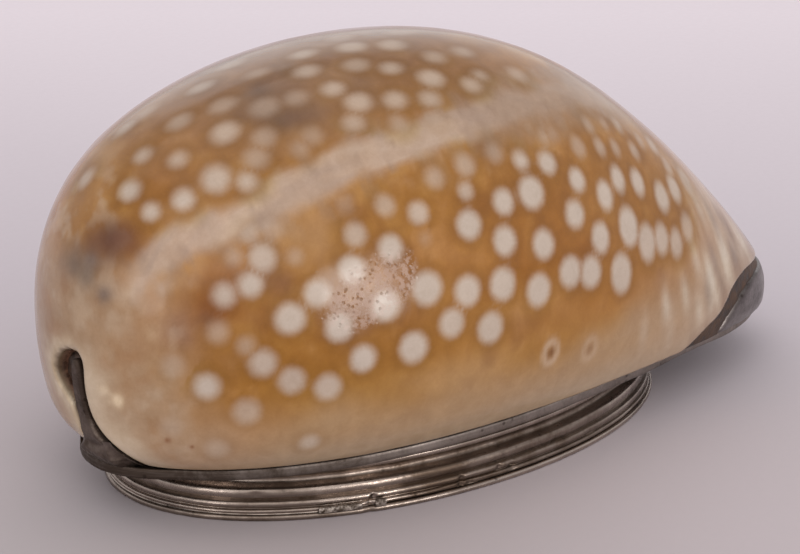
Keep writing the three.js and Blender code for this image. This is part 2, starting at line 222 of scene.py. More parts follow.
def skin(keep, out_in, in_in, v0, v1, nv, nt, lip=None, pole=None, rings=1):
    """Closed piece between two insets of the form, kept where keep(points) > 0.
    Returns points, faces, depth (0 on the outer face, 1 on the inner), section angle and station."""
    vs = np.linspace(v0, v1, nv + 1)
    ts = np.linspace(0, 2 * PI, nt + 1)
    V, T = np.meshgrid(vs, ts[:-1], indexing="ij")
    F = keep(form(-np.cos(PI * V), T, out_in))
    pv, pt, pf = list(V.ravel()), list(T.ravel()), list(F.ravel())
    idx = np.arange((nv + 1) * nt).reshape(nv + 1, nt)
    A, B = idx[:-1], idx[1:]
    C, D = np.roll(idx, -1, 1)[1:], np.roll(idx, -1, 1)[:-1]
    ins = F.ravel() > 0
    cnt = ins[A].astype(int) + ins[B] + ins[C] + ins[D]
    faces = np.stack([A, B, C, D], -1)[cnt == 4].tolist()
    cross = {}
    for i, j in zip(*np.nonzero((cnt > 0) & (cnt < 4))):
        q = [(i, j, A[i, j]), (i + 1, j, B[i, j]), (i + 1, j + 1, C[i, j]), (i, j + 1, D[i, j])]
        out = []
        for k in range(4):
            a, b = q[k], q[(k + 1) % 4]
            if ins[a[2]]:
                out.append(int(a[2]))
            if ins[a[2]] != ins[b[2]]:
                key = (min(a[2], b[2]), max(a[2], b[2]))
                if key not in cross:
                    fa, fb = pf[a[2]], pf[b[2]]
                    w = fa / (fa - fb)
                    cross[key] = len(pv)
                    pv.append(vs[a[0]] + w * (vs[b[0]] - vs[a[0]]))
                    pt.append(ts[a[1]] + w * (ts[b[1]] - ts[a[1]]))
                    pf.append(0.0)
                out.append(cross[key])
        if len(out) >= 3:
            faces.append(out)
    if pole is not None:
        row = 0 if pole < 0 else nv
        if ins[idx[row]].all():
            centre = len(pv)
            pv.append(0.0 if pole < 0 else 1.0)
            pt.append(0.0)
            pf.append(float(keep(form(np.array([float(pole)]), np.array([0.0]), out_in))[0]))
            for j in range(nt):
                a, b = int(idx[row, j]), int(idx[row, (j + 1) % nt])
                faces.append([centre, a, b] if pole < 0 else [centre, b, a])
    used = np.zeros(len(pv), bool)
    for f in faces:
        used[f] = True
    new = np.cumsum(used) - 1
    faces = [[int(new[k]) for k in f] for f in faces]
    pv, pt, pf = np.array(pv)[used], np.array(pt)[used], np.array(pf)[used]
    c = -np.cos(PI * pv)
    base = form(c, pt, out_in)
    extra = lip(base, pf) if lip else 0.0
    n = len(pv)
    layers, depth = [form(c, pt, out_in + extra)], [np.zeros(n)]
    edges = {}
    for f in faces:
        for k in range(len(f)):
            edges[(f[k], f[(k + 1) % len(f)])] = True
    rim = [(a, b) for a, b in edges if (b, a) not in edges]
    rim_ids = sorted({a for e in rim for a in e})
    # rings down the cut edge
    start = np.broadcast_to(out_in + extra, (n,))[rim_ids] if not np.isscalar(extra) else np.full(len(rim_ids), out_in + extra)
    pos, dep, prev = [layers[0]], [np.zeros(n)], {a: a for a in rim_ids}
    total = n
    strip = []
    for r in range(1, rings):
        w = r / rings
        pos.append(form(c[rim_ids], pt[rim_ids], start * (1 - w) + in_in * w))
        dep.append(np.full(len(rim_ids), w))
        cur = {a: total + k for k, a in enumerate(rim_ids)}
        strip += [[prev[b], prev[a], cur[a], cur[b]] for a, b in rim]
        prev, total = cur, total + len(rim_ids)
    inner0 = total
    pos.append(form(c, pt, in_in))
    dep.append(np.ones(n))
    strip += [[prev[b], prev[a], inner0 + a, inner0 + b] for a, b in rim]
    verts = np.concatenate(pos)
    dep = np.concatenate(dep)
    ring_t = [pt] + [pt[rim_ids]] * (rings - 1) + [pt]
    ring_c = [c] + [c[rim_ids]] * (rings - 1) + [c]
    ring_f = [pf] + [np.zeros(len(rim_ids))] * (rings - 1) + [pf]
    faces = faces + strip + [[inner0 + k for k in reversed(f)] for f in faces]
    if signed_volume(verts, faces[:: max(1, len(faces) // 4000)]) < 0:
        faces = [f[::-1] for f in faces]
    return verts, faces, dep, np.concatenate(ring_t), np.concatenate(ring_c), np.concatenate(ring_f)


def sweep(section, ts, closed=True, shape=None):
    """Closed section (inset, z) carried round the oval. shape(t, inset, z) may move the points."""
    section = np.array(section, float)
    m, n = len(section), len(ts)
    tt = np.repeat(np.asarray(ts)[:, None], m, 1)
    ii = np.repeat(section[None, :, 0], n, 0)
    zz = np.repeat(section[None, :, 1], n, 0)
    if shape:
        ii, zz = shape(tt, ii, zz)
    x, y = oval(tt, ii)
    v = np.stack([x, y, zz], -1).reshape(-1, 3)
    faces = []
    for i in range(n if closed else n - 1):
        for j in range(m):
            a, b = i * m + j, i * m + (j + 1) % m
            c, d = ((i + 1) % n) * m + (j + 1) % m, ((i + 1) % n) * m + j
            faces.append([a, b, c, d])
    if not closed:
        faces.append(list(range(m))[::-1])
        faces.append([(n - 1) * m + j for j in range(m)])
    if signed_volume(v, faces) < 0:
        faces = [f[::-1] for f in faces]
    return v, faces, tt.reshape(-1), ii.reshape(-1), zz.reshape(-1)


def joined(parts):
    v, f, n = [], [], 0
    for a, b in parts:
        v.append(np.asarray(a, float))
        f += [[k + n for k in q] for q in b]
        n += len(a)
    return np.concatenate(v), f


def soft_box(x0, x1, y0, y1, z0, z1, r):
    """Box with its edges cut at 45 degrees by r."""
    pts, quads = [], []
    xs, ys, zs = (x0, x1), (y0, y1), (z0, z1)
    for a in (0, 1):
        for b in (0, 1):
            for c in (0, 1):
                sx, sy, sz = (1, -1)[a], (1, -1)[b], (1, -1)[c]
                X, Y, Z = xs[a], ys[b], zs[c]
                pts += [[X, Y + sy * r, Z + sz * r], [X + sx * r, Y, Z + sz * r], [X + sx * r, Y + sy * r, Z]]
    idx = lambda a, b, c, k: (a * 4 + b * 2 + c) * 3 + k
    for s in (0, 1):
        quads.append([idx(s, 0, 0, 0), idx(s, 1, 0, 0), idx(s, 1, 1, 0), idx(s, 0, 1, 0)][:: 1 if s else -1])
        quads.append([idx(0, s, 0, 1), idx(0, s, 1, 1), idx(1, s, 1, 1), idx(1, s, 0, 1)][:: 1 if s else -1])
        quads.append([idx(0, 0, s, 2), idx(1, 0, s, 2), idx(1, 1, s, 2), idx(0, 1, s, 2)][:: 1 if s else -1])
    for p in (0, 1):
        for q in (0, 1):
            quads.append([idx(0, p, q, 1), idx(1, p, q, 1), idx(1, p, q, 2), idx(0, p, q, 2)][:: 1 if p == q else -1])
            quads.append([idx(p, 0, q, 0), idx(p, 0, q, 2), idx(p, 1, q, 2), idx(p, 1, q, 0)][:: 1 if p == q else -1])
            quads.append([idx(p, q, 0, 0), idx(p, q, 1, 0), idx(p, q, 1, 1), idx(p, q, 0, 1)][:: 1 if p == q else -1])
            for r3 in (0, 1):
                f = [idx(p, q, r3, 0), idx(p, q, r3, 1), idx(p, q, r3, 2)]
                quads.append(f if (p + q + r3) % 2 else f[::-1])
    return np.array(pts), quads


def tube(x0, x1, y, z, prof, n=48):
    """Ring section (x, radius), closed, turned about an axis along X."""
    prof = np.array(prof, float)
    m = len(prof)
    a = np.linspace(0, 2 * PI, n, endpoint=False)
    v = np.array([[px, y + pr * math.cos(t), z + pr * math.sin(t)] for t in a for px, pr in prof])
    f = []
    for i in range(n):
        for j in range(m):
            f.append([i * m + j, i * m + (j + 1) % m, ((i + 1) % n) * m + (j + 1) % m, ((i + 1) % n) * m + j])
    if signed_volume(v, f) < 0:
        f = [q[::-1] for q in f]
    return v, f


# ---------------------------------------------------------------- materials
class Nodes:
    def __init__(self, name):
        self.mat = bpy.data.materials.new(name)
        self.mat.use_nodes = True
        self.t = self.mat.node_tree
        self.t.nodes.clear()
        self.out = self.t.nodes.new("ShaderNodeOutputMaterial")
        self.p = self.t.nodes.new("ShaderNodeBsdfPrincipled")
        self.t.links.new(self.p.outputs[0], self.out.inputs["Surface"])
        self.tc = self.t.nodes.new("ShaderNodeTexCoord")

    def link(self, a, b):
        self.t.links.new(a, b)

    def put(self, sock, v):
        if isinstance(v, bpy.types.NodeSocket):
            self.link(v, sock)
        elif isinstance(v, (tuple, list, np.ndarray)):
            v = list(v)
            sock.default_value = v if len(v) == len(sock.default_value) else v + [1.0]
        else:
            sock.default_value = v

    def attr(self, name, colour=False):
        n = self.t.nodes.new("ShaderNodeAttribute")
        n.attribute_name = name
        return n.outputs["Color" if colour else "Fac"]

    def place(self, scale=(1, 1, 1), rot=(0, 0, 0)):
        m = self.t.nodes.new("ShaderNodeMapping")
        m.inputs["Scale"].default_value = scale
        m.inputs["Rotation"].default_value = rot
        self.link(self.tc.outputs["Object"], m.inputs["Vector"])
        return m.outputs[0]

    def noise(self, scale, detail=4.0, rough=0.55, vec=None, dist=0.0):
        n = self.t.nodes.new("ShaderNodeTexNoise")
        n.inputs["Scale"].default_value = scale
        n.inputs["Detail"].default_value = detail
        n.inputs["Roughness"].default_value = rough
        n.inputs["Distortion"].default_value = dist
        self.link(vec or self.tc.outputs["Object"], n.inputs["Vector"])
        return n.outputs[0]

    def voronoi(self, scale, feature="F1", vec=None, out="Distance", rnd=1.0):
        n = self.t.nodes.new("ShaderNodeTexVoronoi")
        n.feature = feature
        n.inputs["Scale"].default_value = scale
        n.inputs["Randomness"].default_value = rnd
        self.link(vec or self.tc.outputs["Object"], n.inputs["Vector"])
        return n.outputs[out]

    def math(self, op, a, b=0.0, c=0.0, clamp=False):
        n = self.t.nodes.new("ShaderNodeMath")
        n.operation = op
        n.use_clamp = clamp
        self.put(n.inputs[0], a)
        self.put(n.inputs[1], b)
        if op == "MULTIPLY_ADD":
            self.put(n.inputs[2], c)
        return n.outputs[0]

    def ramp(self, v, a, b, lo=0.0, hi=1.0, smooth=True):
        n = self.t.nodes.new("ShaderNodeMapRange")
        n.interpolation_type = "SMOOTHSTEP" if smooth else "LINEAR"
        n.clamp = True
        self.put(n.inputs["Value"], v)
        for k, x in zip(("From Min", "From Max", "To Min", "To Max"), (a, b, lo, hi)):
            self.put(n.inputs[k], x)
        return n.outputs[0]

    def mix(self, f, a, b, mode="MIX"):
        n = self.t.nodes.new("ShaderNodeMix")
        n.data_type = "RGBA"
        n.blend_type = mode
        n.clamp_factor = True
        self.put(n.inputs[0], f)
        self.put(n.inputs[6], a)
        self.put(n.inputs[7], b)
        return n.outputs[2]

    def bump(self, height, strength, distance, normal=None):
        n = self.t.nodes.new("ShaderNodeBump")
        n.inputs["Strength"].default_value = strength
        n.inputs["Distance"].default_value = distance
        self.put(n.inputs["Height"], height)
        if normal:
            self.link(normal, n.inputs["Normal"])
        return n.outputs[0]

    def set(self, **kw):
        for k, v in kw.items():
            self.put(self.p.inputs[k.replace("_", " ")], v)


def shell_material():
    m = Nodes("cowrie_glaze")
    ground, spotc = m.attr("ground", True), m.attr("spot_colour", True)
    sd, strength, depth, wear_and_highlight = m.attr("spot"), m.attr("strength"), m.attr("depth"), m.attr("wear_and_highlight")
    edge = m.noise(1300, 3, 0.6)
    sd2 = m.math("MULTIPLY_ADD", edge, 0.30, m.math("SUBTRACT", sd, 0.15))
    soft = m.attr("soft")
    mask = m.math("MULTIPLY", m.ramp(sd2, soft, m.math("MULTIPLY", soft, -1.0)), strength, clamp=True)
    halo = m.math("MULTIPLY", m.ramp(sd2, 0.3, 1.5, 1, 0), m.math("SUBTRACT", 1.0, mask))
    g = m.mix(m.math("MULTIPLY", halo, m.math("MULTIPLY", strength, 0.28)), ground, (0.215, 0.100, 0.030), "MIX")
    fine = m.noise(3300, 4, 0.65)
    mid = m.noise(620, 5, 0.6, dist=0.4)
    g = m.mix(m.ramp(mid, 0.25, 0.75, 0.0, 0.34), g, m.mix(1.0, g, (0.70, 0.62, 0.52), "MULTIPLY"))
    core = m.mix(m.ramp(mid, 0.4, 0.8, 0.0, 0.25), spotc, (0.36, 0.28, 0.21))
    col = m.mix(mask, g, core)
    col = m.mix(m.ramp(fine, 0.3, 0.7, 0.0, 0.16), col, m.mix(1.0, col, (0.72, 0.68, 0.64), "MULTIPLY"))
    # pitted, scuffed patch on the crown of the labral side; its pale scuffs are a painted highlight, broken up by the
    # real pits
    pits = m.voronoi(1700)
    pit = m.math("MULTIPLY", m.ramp(pits, 0.14, 0.30, 1, 0), wear_and_highlight, clamp=True)
    scuff_and_highlight = m.math("MULTIPLY", m.ramp(m.noise(1900, 3, 0.6), 0.44, 0.58), wear_and_highlight, clamp=True)
    col = m.mix(m.math("MULTIPLY", scuff_and_highlight, 0.38), col, (0.56, 0.41, 0.34))
    col = m.mix(m.math("MULTIPLY", pit, 0.35), col, (0.14, 0.08, 0.05))
    # inner face and cut edge
    inner = m.mix(m.ramp(m.noise(260, 4, 0.6), 0.35, 0.65), (0.48, 0.39, 0.37), (0.58, 0.49, 0.44))
    col = m.mix(m.ramp(depth, 0.1, 0.9), col, inner)
    col = m.mix(m.attr("stain"), col, m.mix(m.ramp(m.noise(900, 3, 0.6), 0.35, 0.65), (0.085, 0.046, 0.032), (0.30, 0.155, 0.098)))
    rough = m.math("ADD", m.ramp(m.noise(210, 5, 0.6), 0.3, 0.7, 0.11, 0.19), m.math("MULTIPLY", m.math("MAXIMUM", pit, scuff_and_highlight), 0.14))
    rough = m.math("ADD", rough, m.ramp(depth, 0.2, 0.9, 0.0, 0.28))
    h = m.math("ADD", m.math("MULTIPLY", m.noise(420, 4, 0.5), 0.6), m.math("MULTIPLY", fine, 0.12))
    h = m.math("SUBTRACT", h, m.math("MULTIPLY", pit, 0.9))
    m.set(Base_Color=col, Roughness=rough, Metallic=0.0, IOR=1.5, Normal=m.bump(h, 0.16, 0.00012))
    m.set(Specular_IOR_Level=0.37)
    return m.mat


def silver_material(name, bright=(0.44, 0.368, 0.318), dark=(0.118, 0.084, 0.062), base=0.36, rough=(0.20, 0.42), scratch=0.25, along=(0, 0, 0)):
    m = Nodes(name)
    cav = m.attr("cav")
    cloud = m.noise(230, 6, 0.65, dist=0.5)
    grit = m.noise(2600, 4, 0.7)
    lines = m.noise(1.0, 3, 0.6, vec=m.place((260, 260, 9000), along))
    t = m.math("ADD", cav, m.ramp(cloud, 0.3, 0.72, base - 0.26, base + 0.22))
    t = m.math("ADD", t, m.ramp(grit, 0.35, 0.7, -0.04, 0.09), clamp=True)
    col = m.mix(t, bright, dark)
    col = m.mix(m.ramp(lines, 0.50, 0.66, 0, scratch * 0.5), col, bright)
    spots = m.math("MULTIPLY", m.ramp(m.voronoi(900), 0.10, 0.22, 1, 0), m.ramp(cloud, 0.45, 0.6))
    col = m.mix(m.math("MULTIPLY", spots, 0.6), col, (0.028, 0.019, 0.014))
    r = m.math("ADD", m.ramp(t, 0.0, 1.0, rough[0], rough[1], smooth=False), m.ramp(grit, 0.3, 0.7, -0.03, 0.08))
    h = m.math("ADD", m.math("MULTIPLY", grit, 0.10), m.math("MULTIPLY", lines, 0.35))
    h = m.math("ADD", h, m.math("MULTIPLY", m.noise(420, 3, 0.5), 0.9))
    m.set(Base_Color=col, Roughness=r, Metallic=1.0, Normal=m.bump(h, 0.12, 0.00012))
    return m.mat


def pitch_material():
    m = Nodes("bedding_pitch")
    a = m.noise(700, 5, 0.6)
    col = m.mix(m.ramp(a, 0.3, 0.7), (0.022, 0.014, 0.010), (0.085, 0.046, 0.027))
    col = m.mix(m.ramp(m.noise(2400, 3, 0.6), 0.55, 0.75, 0, 0.35), col, (0.13, 0.075, 0.045))
    h = m.math("ADD", a, m.math("MULTIPLY", m.noise(2300, 4, 0.6), 0.4))
    m.set(Base_Color=col, Roughness=m.ramp(a, 0.3, 0.7, 0.38, 0.7), Metallic=0.0, IOR=1.5, Normal=m.bump(h, 0.5, 0.0003))
    return m.mat


def solder_material():
    m = Nodes("grey_solder")
    a, b = m.noise(1500, 5, 0.7), m.voronoi(1900)
    t = m.math("ADD", m.ramp(a, 0.35, 0.65, 0.0, 0.7), m.ramp(b, 0.1, 0.5, 0.0, 0.4), clamp=True)
    col = m.mix(t, (0.62, 0.55, 0.49), (0.10, 0.075, 0.058))
    h = m.math("SUBTRACT", a, m.math("MULTIPLY", b, 0.7))
    m.set(Base_Color=col, Roughness=m.ramp(t, 0, 1, 0.32, 0.62), Metallic=1.0, Normal=m.bump(h, 0.7, 0.0002))
    return m.mat


# ---------------------------------------------------------------- shell: cut lines
NOTCH = chaikin([(-5.4, 2.0), (-5.2, 5.6), (-4.95, 6.8), (-4.35, 7.9), (-3.65, 8.8), (-2.9, 9.8), (-2.4, 11.0), (-2.2, 12.5), (-2.2, 14.0), (-2.35, 15.6), (-2.3, 16.5), (-1.7, 17.1),
                 (-0.7, 17.15), (0.7, 16.5), (1.6, 15.75), (2.45, 14.6), (2.6, 13.75), (2.05, 13.05), (1.3, 12.45), (0.5, 12.0), (-0.2, 11.4), (-0.35, 10.4), (-0.6, 9.5), (-0.7, 8.3), (-0.7, 2.0)], 3)
STRAP = chaikin([(-4.7, 5.0), (-4.6, 6.7), (-4.1, 7.6), (-3.4, 8.5), (-2.7, 9.6), (-2.15, 11.1), (-2.1, 13.2), (-2.1, 15.2), (-1.9, 16.2), (-1.3, 16.5),
                 (-0.9, 15.8), (-0.7, 14.0), (-0.6, 12.4), (-0.5, 11.1), (-0.9, 8.0), (-0.9, 5.0)], 2)
PITCH_AREA = chaikin([(-4.6, 5.75), (-4.45, 7.0), (-3.6, 8.7), (-2.75, 10.0), (-2.25, 12.0), (-2.2, 14.0), (-2.3, 15.8), (-1.9, 16.4), (-0.6, 16.5), (0.6, 16.2), (1.55, 15.6),
                      (2.4, 14.5), (2.52, 13.8), (1.98, 13.12), (1.2, 12.5), (0.4, 12.1), (-0.28, 11.5), (-0.42, 10.4), (-0.7, 9.5), (-0.8, 8.3), (-0.85, 5.75)], 2)
END_LINE = chaikin([(21.9, 3.0), (21.9, 5.5), (23.05, 6.01), (24.5, 6.88), (25.79, 7.53), (27.58, 8.23), (28.82, 9.31), (29.9, 10.65), (31.2, 11.3), (33.3, 11.75), (38.5, 11.15), (50, 10.6), (50, 3.0)], 2)
CAP_LINE = chaikin([(28.37, 3.0), (28.37, 5.65), (28.9, 6.5), (30.4, 8.05), (31.5, 9.05), (33.2, 9.95), (35.5, 10.45), (38.9, 10.2), (50, 9.6), (50, 3.0)], 2)


def notch_gap(p):
    d = np.full(p.shape[:-1], 30.0)
    m = p[..., 0] < -31
    d[m] = outline_distance(p[..., 1][m], p[..., 2][m], NOTCH)
    return d


def cap_gap(p, line):
    d = np.full(p.shape[:-1], 30.0)
    m = p[..., 0] > 19
    d[m] = outline_distance(p[..., 0][m], p[..., 2][m], line)
    return d


def keep_shell(p):
    return np.minimum(np.minimum(notch_gap(p), cap_gap(p, END_LINE)), p[..., 2] - CUT_Z)


def roll(f, r):
    """Depth of a rounded edge of radius r at distance f from it."""
    q = np.clip(r - f, 0, None)
    q = np.minimum(q, r)
    return r - np.sqrt(np.clip(r * r - q * q, 0, None))


def shell_lip(p, f):
    n, cp, b = notch_gap(p), cap_gap(p, END_LINE), p[..., 2] - CUT_Z
    labral = sstep(-0.8, -2.2, p[..., 1])
    rn = 0.50 + 0.55 * labral
    e = roll(np.maximum(n, 0), rn)
    e = np.maximum(e, roll(np.maximum(cp, 0), np.full(cp.shape, 0.45)))
    e = np.maximum(e, roll(np.maximum(b, 0), np.full(b.shape, 0.22)))
    # the glaze is not quite even
    q = p / 6.0
    return e + 0.06 + 0.05 * fbm(q, 3, 5) + 0.012 * fbm(p / 1.7, 2, 9)


# ---------------------------------------------------------------- shell: pattern
SPOTS = [(-34.0,-4.0,34.5,.82,1),(-32.3,-7.3,34.6,.82,.9),(-36.5,-5.6,32,1,1),(-33.7,-10.1,31.8,.99,1),(-36.2,-8.5,30.7,.86,.9),
    (-30.6,-10.9,33.3,1.35,.95),(-28.5,-12.6,33.1,.9,.95),(-29.5,-16.3,27,1.26,.8),(-31.6,-15,27.2,.81,.35),(-30.9,-16.4,24.8,1.08,1),
    (-33.1,-15.4,24,.99,.9),(-25.6,-19.3,23.6,1.26,1),(-28.2,-18.7,21.6,1.4,1),(-22.1,-19.8,25.3,1.27,1),(-18,-20.3,26.6,1.18,1),
    (-21,-18.9,28.1,1.09,.7),(-24.1,-20.5,20.3,1.27,1),(-19.5,-21.5,21.6,1.36,1),(-22.1,-21.5,17.1,1.27,1),(-17.1,-22.6,17.3,1.47,1),
    (-30.8,-18,17.7,1.26,.8),(-28.5,-19.2,15.8,1.27,.75),(-25.4,-20.5,14.8,1.27,.8),(-34,-15.6,20.7,.99,.45),(-37.3,-13.2,17.5,1.08,.35),
    (-35.1,-15.2,15.6,1.18,1),(-32.1,-17.2,13,1.27,.6),(-26.5,-19.1,9.1,.92,.7),(-34,-15,9,1.1,.4),(-37.4,-12.6,11.3,1,.3),
    (-32,-17.1,19.4,.81,.45),(-26.8,-17.6,26.9,.72,.35),(-17.4,-18.7,30.1,1,.6),(-28,-15.9,29.2,.9,.3),(-3.4,-2.7,40.5,1.55,.4),
    (-6.2,-11.3,38.5,1.41,1),(-.4,-11.5,37.7,.76,.8),(-2.3,-12.5,37.3,1.04,.9),(4.5,-11.1,36.9,1.16,.6),(-8.6,-14.8,35.9,.75,.35),
    (-7.7,-18.2,31.9,1.11,.6),(-3.8,-17.8,32.2,.94,.45),(-.9,-18.2,31,.9,.95),(2.4,-18.2,30.1,1.14,.95),(-.8,-19.8,28.2,1.6,1),
    (-4.6,-20.2,28.2,1.21,1),(-8.6,-19.5,29.9,.83,.75),(-11.5,-18.5,31.5,1.01,.55),(5.8,-18.7,27.8,1.15,1),(4.3,-20.3,25.1,1.34,1),
    (9.3,-18.9,25.6,1.36,1),(12,-17.7,26.4,1.22,.95),(15.1,-17.2,25.3,1.23,.95),(18.6,-17,23,1.39,.9),(21.4,-15.8,23,1.26,.85),
    (-9.3,-20.9,27.1,1.34,1),(-5.5,-21.6,24.9,1.4,1),(-.7,-21.6,23.5,1.42,1),(7.4,-20.6,22.1,1.45,1),(11.9,-19.6,22,1.76,1),
    (14.5,-19.5,19.7,1.67,.9),(17,-18.9,19.4,1.39,.85),(19.4,-18.5,18.3,1.3,.75),(21.8,-17.4,19.2,1.21,.6),(-14.3,-19.7,29,1.1,.8),
    (-15.1,-22.1,22.5,1.56,1),(-10.8,-22.6,21.4,1.48,1),(-6.6,-22.6,21.1,1.58,1),(-2.1,-22.6,19.5,1.6,1),(2.4,-21.9,20.1,1.53,1),
    (5.4,-21.6,19.3,1.54,1),(9.9,-20.9,18,1.85,.95),(-12.9,-22.9,18.8,1.38,.95),(-8.5,-23.2,17.4,1.49,.95),(-14.3,-20.7,26.8,.64,.2),
    (10.9,-16.2,29.5,.88,.55),(16.5,-15,27.7,.85,.55),(20.9,-12.9,26.9,.85,.5),(24.5,-14.1,22.7,1.22,.5),(7.6,-16.8,30.3,1.06,.45),(3.3,-16.7,32.1,.75,.4),(10.6,-14.7,31.4,.75,.45),(13.4,-15.8,28.9,.82,.5),(15.7,-13.4,30.0,.72,.45),
    (18.6,-13.6,27.9,.75,.45),(21.9,-14.3,24.7,.85,.55),(13.3,-13.9,30.7,.68,.35),(-37.1,-11.8,24.8,.8,.25),(-29.9,-15.1,28.9,.8,.4),
    
    (4.6,-16.4,32,.77,.25),(-24.9,-.2,38.3,1.31,.8),(-29.7,-3.7,36.8,1.29,.7),(-27.7,-8.2,36.5,1.37,.95),(-25.9,-5.2,38,1.38,.55),
    (-23.2,-8.1,38,1.47,.5),(-20.1,-8.8,38.5,1.15,.5),(-20.5,-3.1,39.6,1.17,.45),(-19.9,1.9,39.2,1.42,.6),(-15,-2.9,40.4,1.32,.85),
    (-16.9,-6.1,39.9,1.31,.85),(-10.4,-4.4,40.7,1.52,.85),(-12.3,-7.6,40,1.31,.7),(-6.6,-5.7,40.5,1.43,.8),(-9.4,-9.2,39.5,1.08,.9),
    (-3.8,-8.8,39.5,1.19,.7),(-16.4,-9.5,38.9,1.16,.9),(-15.1,-11.7,37.8,1.39,.9),(-11.5,-12.6,37.6,1.21,.9),(-7.9,-13.3,37.2,1.12,.9),
    (-16.8,-13.2,36.5,1.06,.8),(-12.6,-14.5,36.1,.92,.6),(-25.2,-10.7,36.1,1.14,.6),(-26.8,-11.7,34.7,1.13,.6),(-21.2,-12.7,36,1,.45),
    (-22.8,-13.1,35.2,.91,.45),(-31.7,2.3,35.1,1.12,.8),(-29.5,2.1,36.3,1.12,.5),(-36.9,1.2,31.5,1.11,.7),(-18,-14.8,35,.91,.3),
    (-21.1,-17.5,30.7,.82,.25),(-9.4,-1.3,40.7,1.44,.4),(.1,-8.2,39.2,1.15,.6)]
OCELLI = [(-0.6, -22.7, 12.8, 1.25, 0.8), (5.2, -21.9, 11.5, 1.2, 0.5)]
STREAKS = [(13.7, -20.3, 10.6), (18.3, -19.2, 9.1), (17.1, -19.7, 12.4), (28.3, -15.8, 16.4)]
BAND = np.array([(-39.5, -9.0, 24.5), (-37.5, -10.3, 26.7), (-35.2, -11.5, 28.6), (-31.2, -13.7, 29.8), (-24.6, -15.3, 32.2), (-19.1, -15.5, 33.9), (-13.6, -16, 34.5),
                 (-7.4, -15.7, 35), (-0.9, -15, 35.1), (8.5, -12.8, 34.3), (20.1, -8.4, 30.3), (28.0, -5.0, 25.0)])
EYE = np.array([-0.577, -0.739, 0.347])   # from the object toward the front-left view


def line_distance(p, line):
    best, along = np.full(len(p), 1e9), np.zeros(len(p))
    for k in range(len(line) - 1):
        a, e = line[k], line[k + 1] - line[k]
        t = np.clip(((p - a) @ e) / (e @ e), 0, 1)
        d = np.linalg.norm(p - a - t[:, None] * e, axis=1)
        m = d < best
        best[m], along[m] = d[m], (k + t)[m]
    return best, along


def far_spots():
    """Spots on the side turned away, scattered at the spacing of the near ones."""
    r = np.random.default_rng(5)
    v, t = r.uniform(0.1, 0.86, 9000), r.uniform(-0.35 * PI, 1.1 * PI, 9000)
    c = -np.cos(PI * v)
    p = form(c, t) - CENTRE
    e = 1e-3
    n = np.cross(form(c, t + e) - form(c, t - e), form(c + e, t) - form(c - e, t))
    n /= np.linalg.norm(n, axis=1)[:, None] + 1e-12
    n *= np.sign((n * (p - np.array([0, 0, 16.0]))).sum(1))[:, None]
    out, have = [], [np.array(s[:3]) for s in SPOTS]
    d, _ = line_distance(p, BAND)
    for k in range(len(p)):
        if n[k] @ EYE > 0.10 or p[k, 2] < 12.5 or d[k] < 4.5 or p[k, 0] > 27:
            continue
        if min(np.linalg.norm(p[k] - q) for q in have[-400:]) < 3.35 + 0.5 * vnoise(p[k] / 9):
            continue
        fade = float(sstep(12.5, 17, p[k, 2])) * (0.55 + 0.45 * float(sstep(-0.5, 0.5, vnoise(p[k] / 7 + 3))))
        out.append((*p[k], 1.3 + 0.28 * vnoise(p[k] / 3), fade))
        have.append(p[k])
    return out


def stretch(x):
    return float(sstep(2.0, 14.0, x))


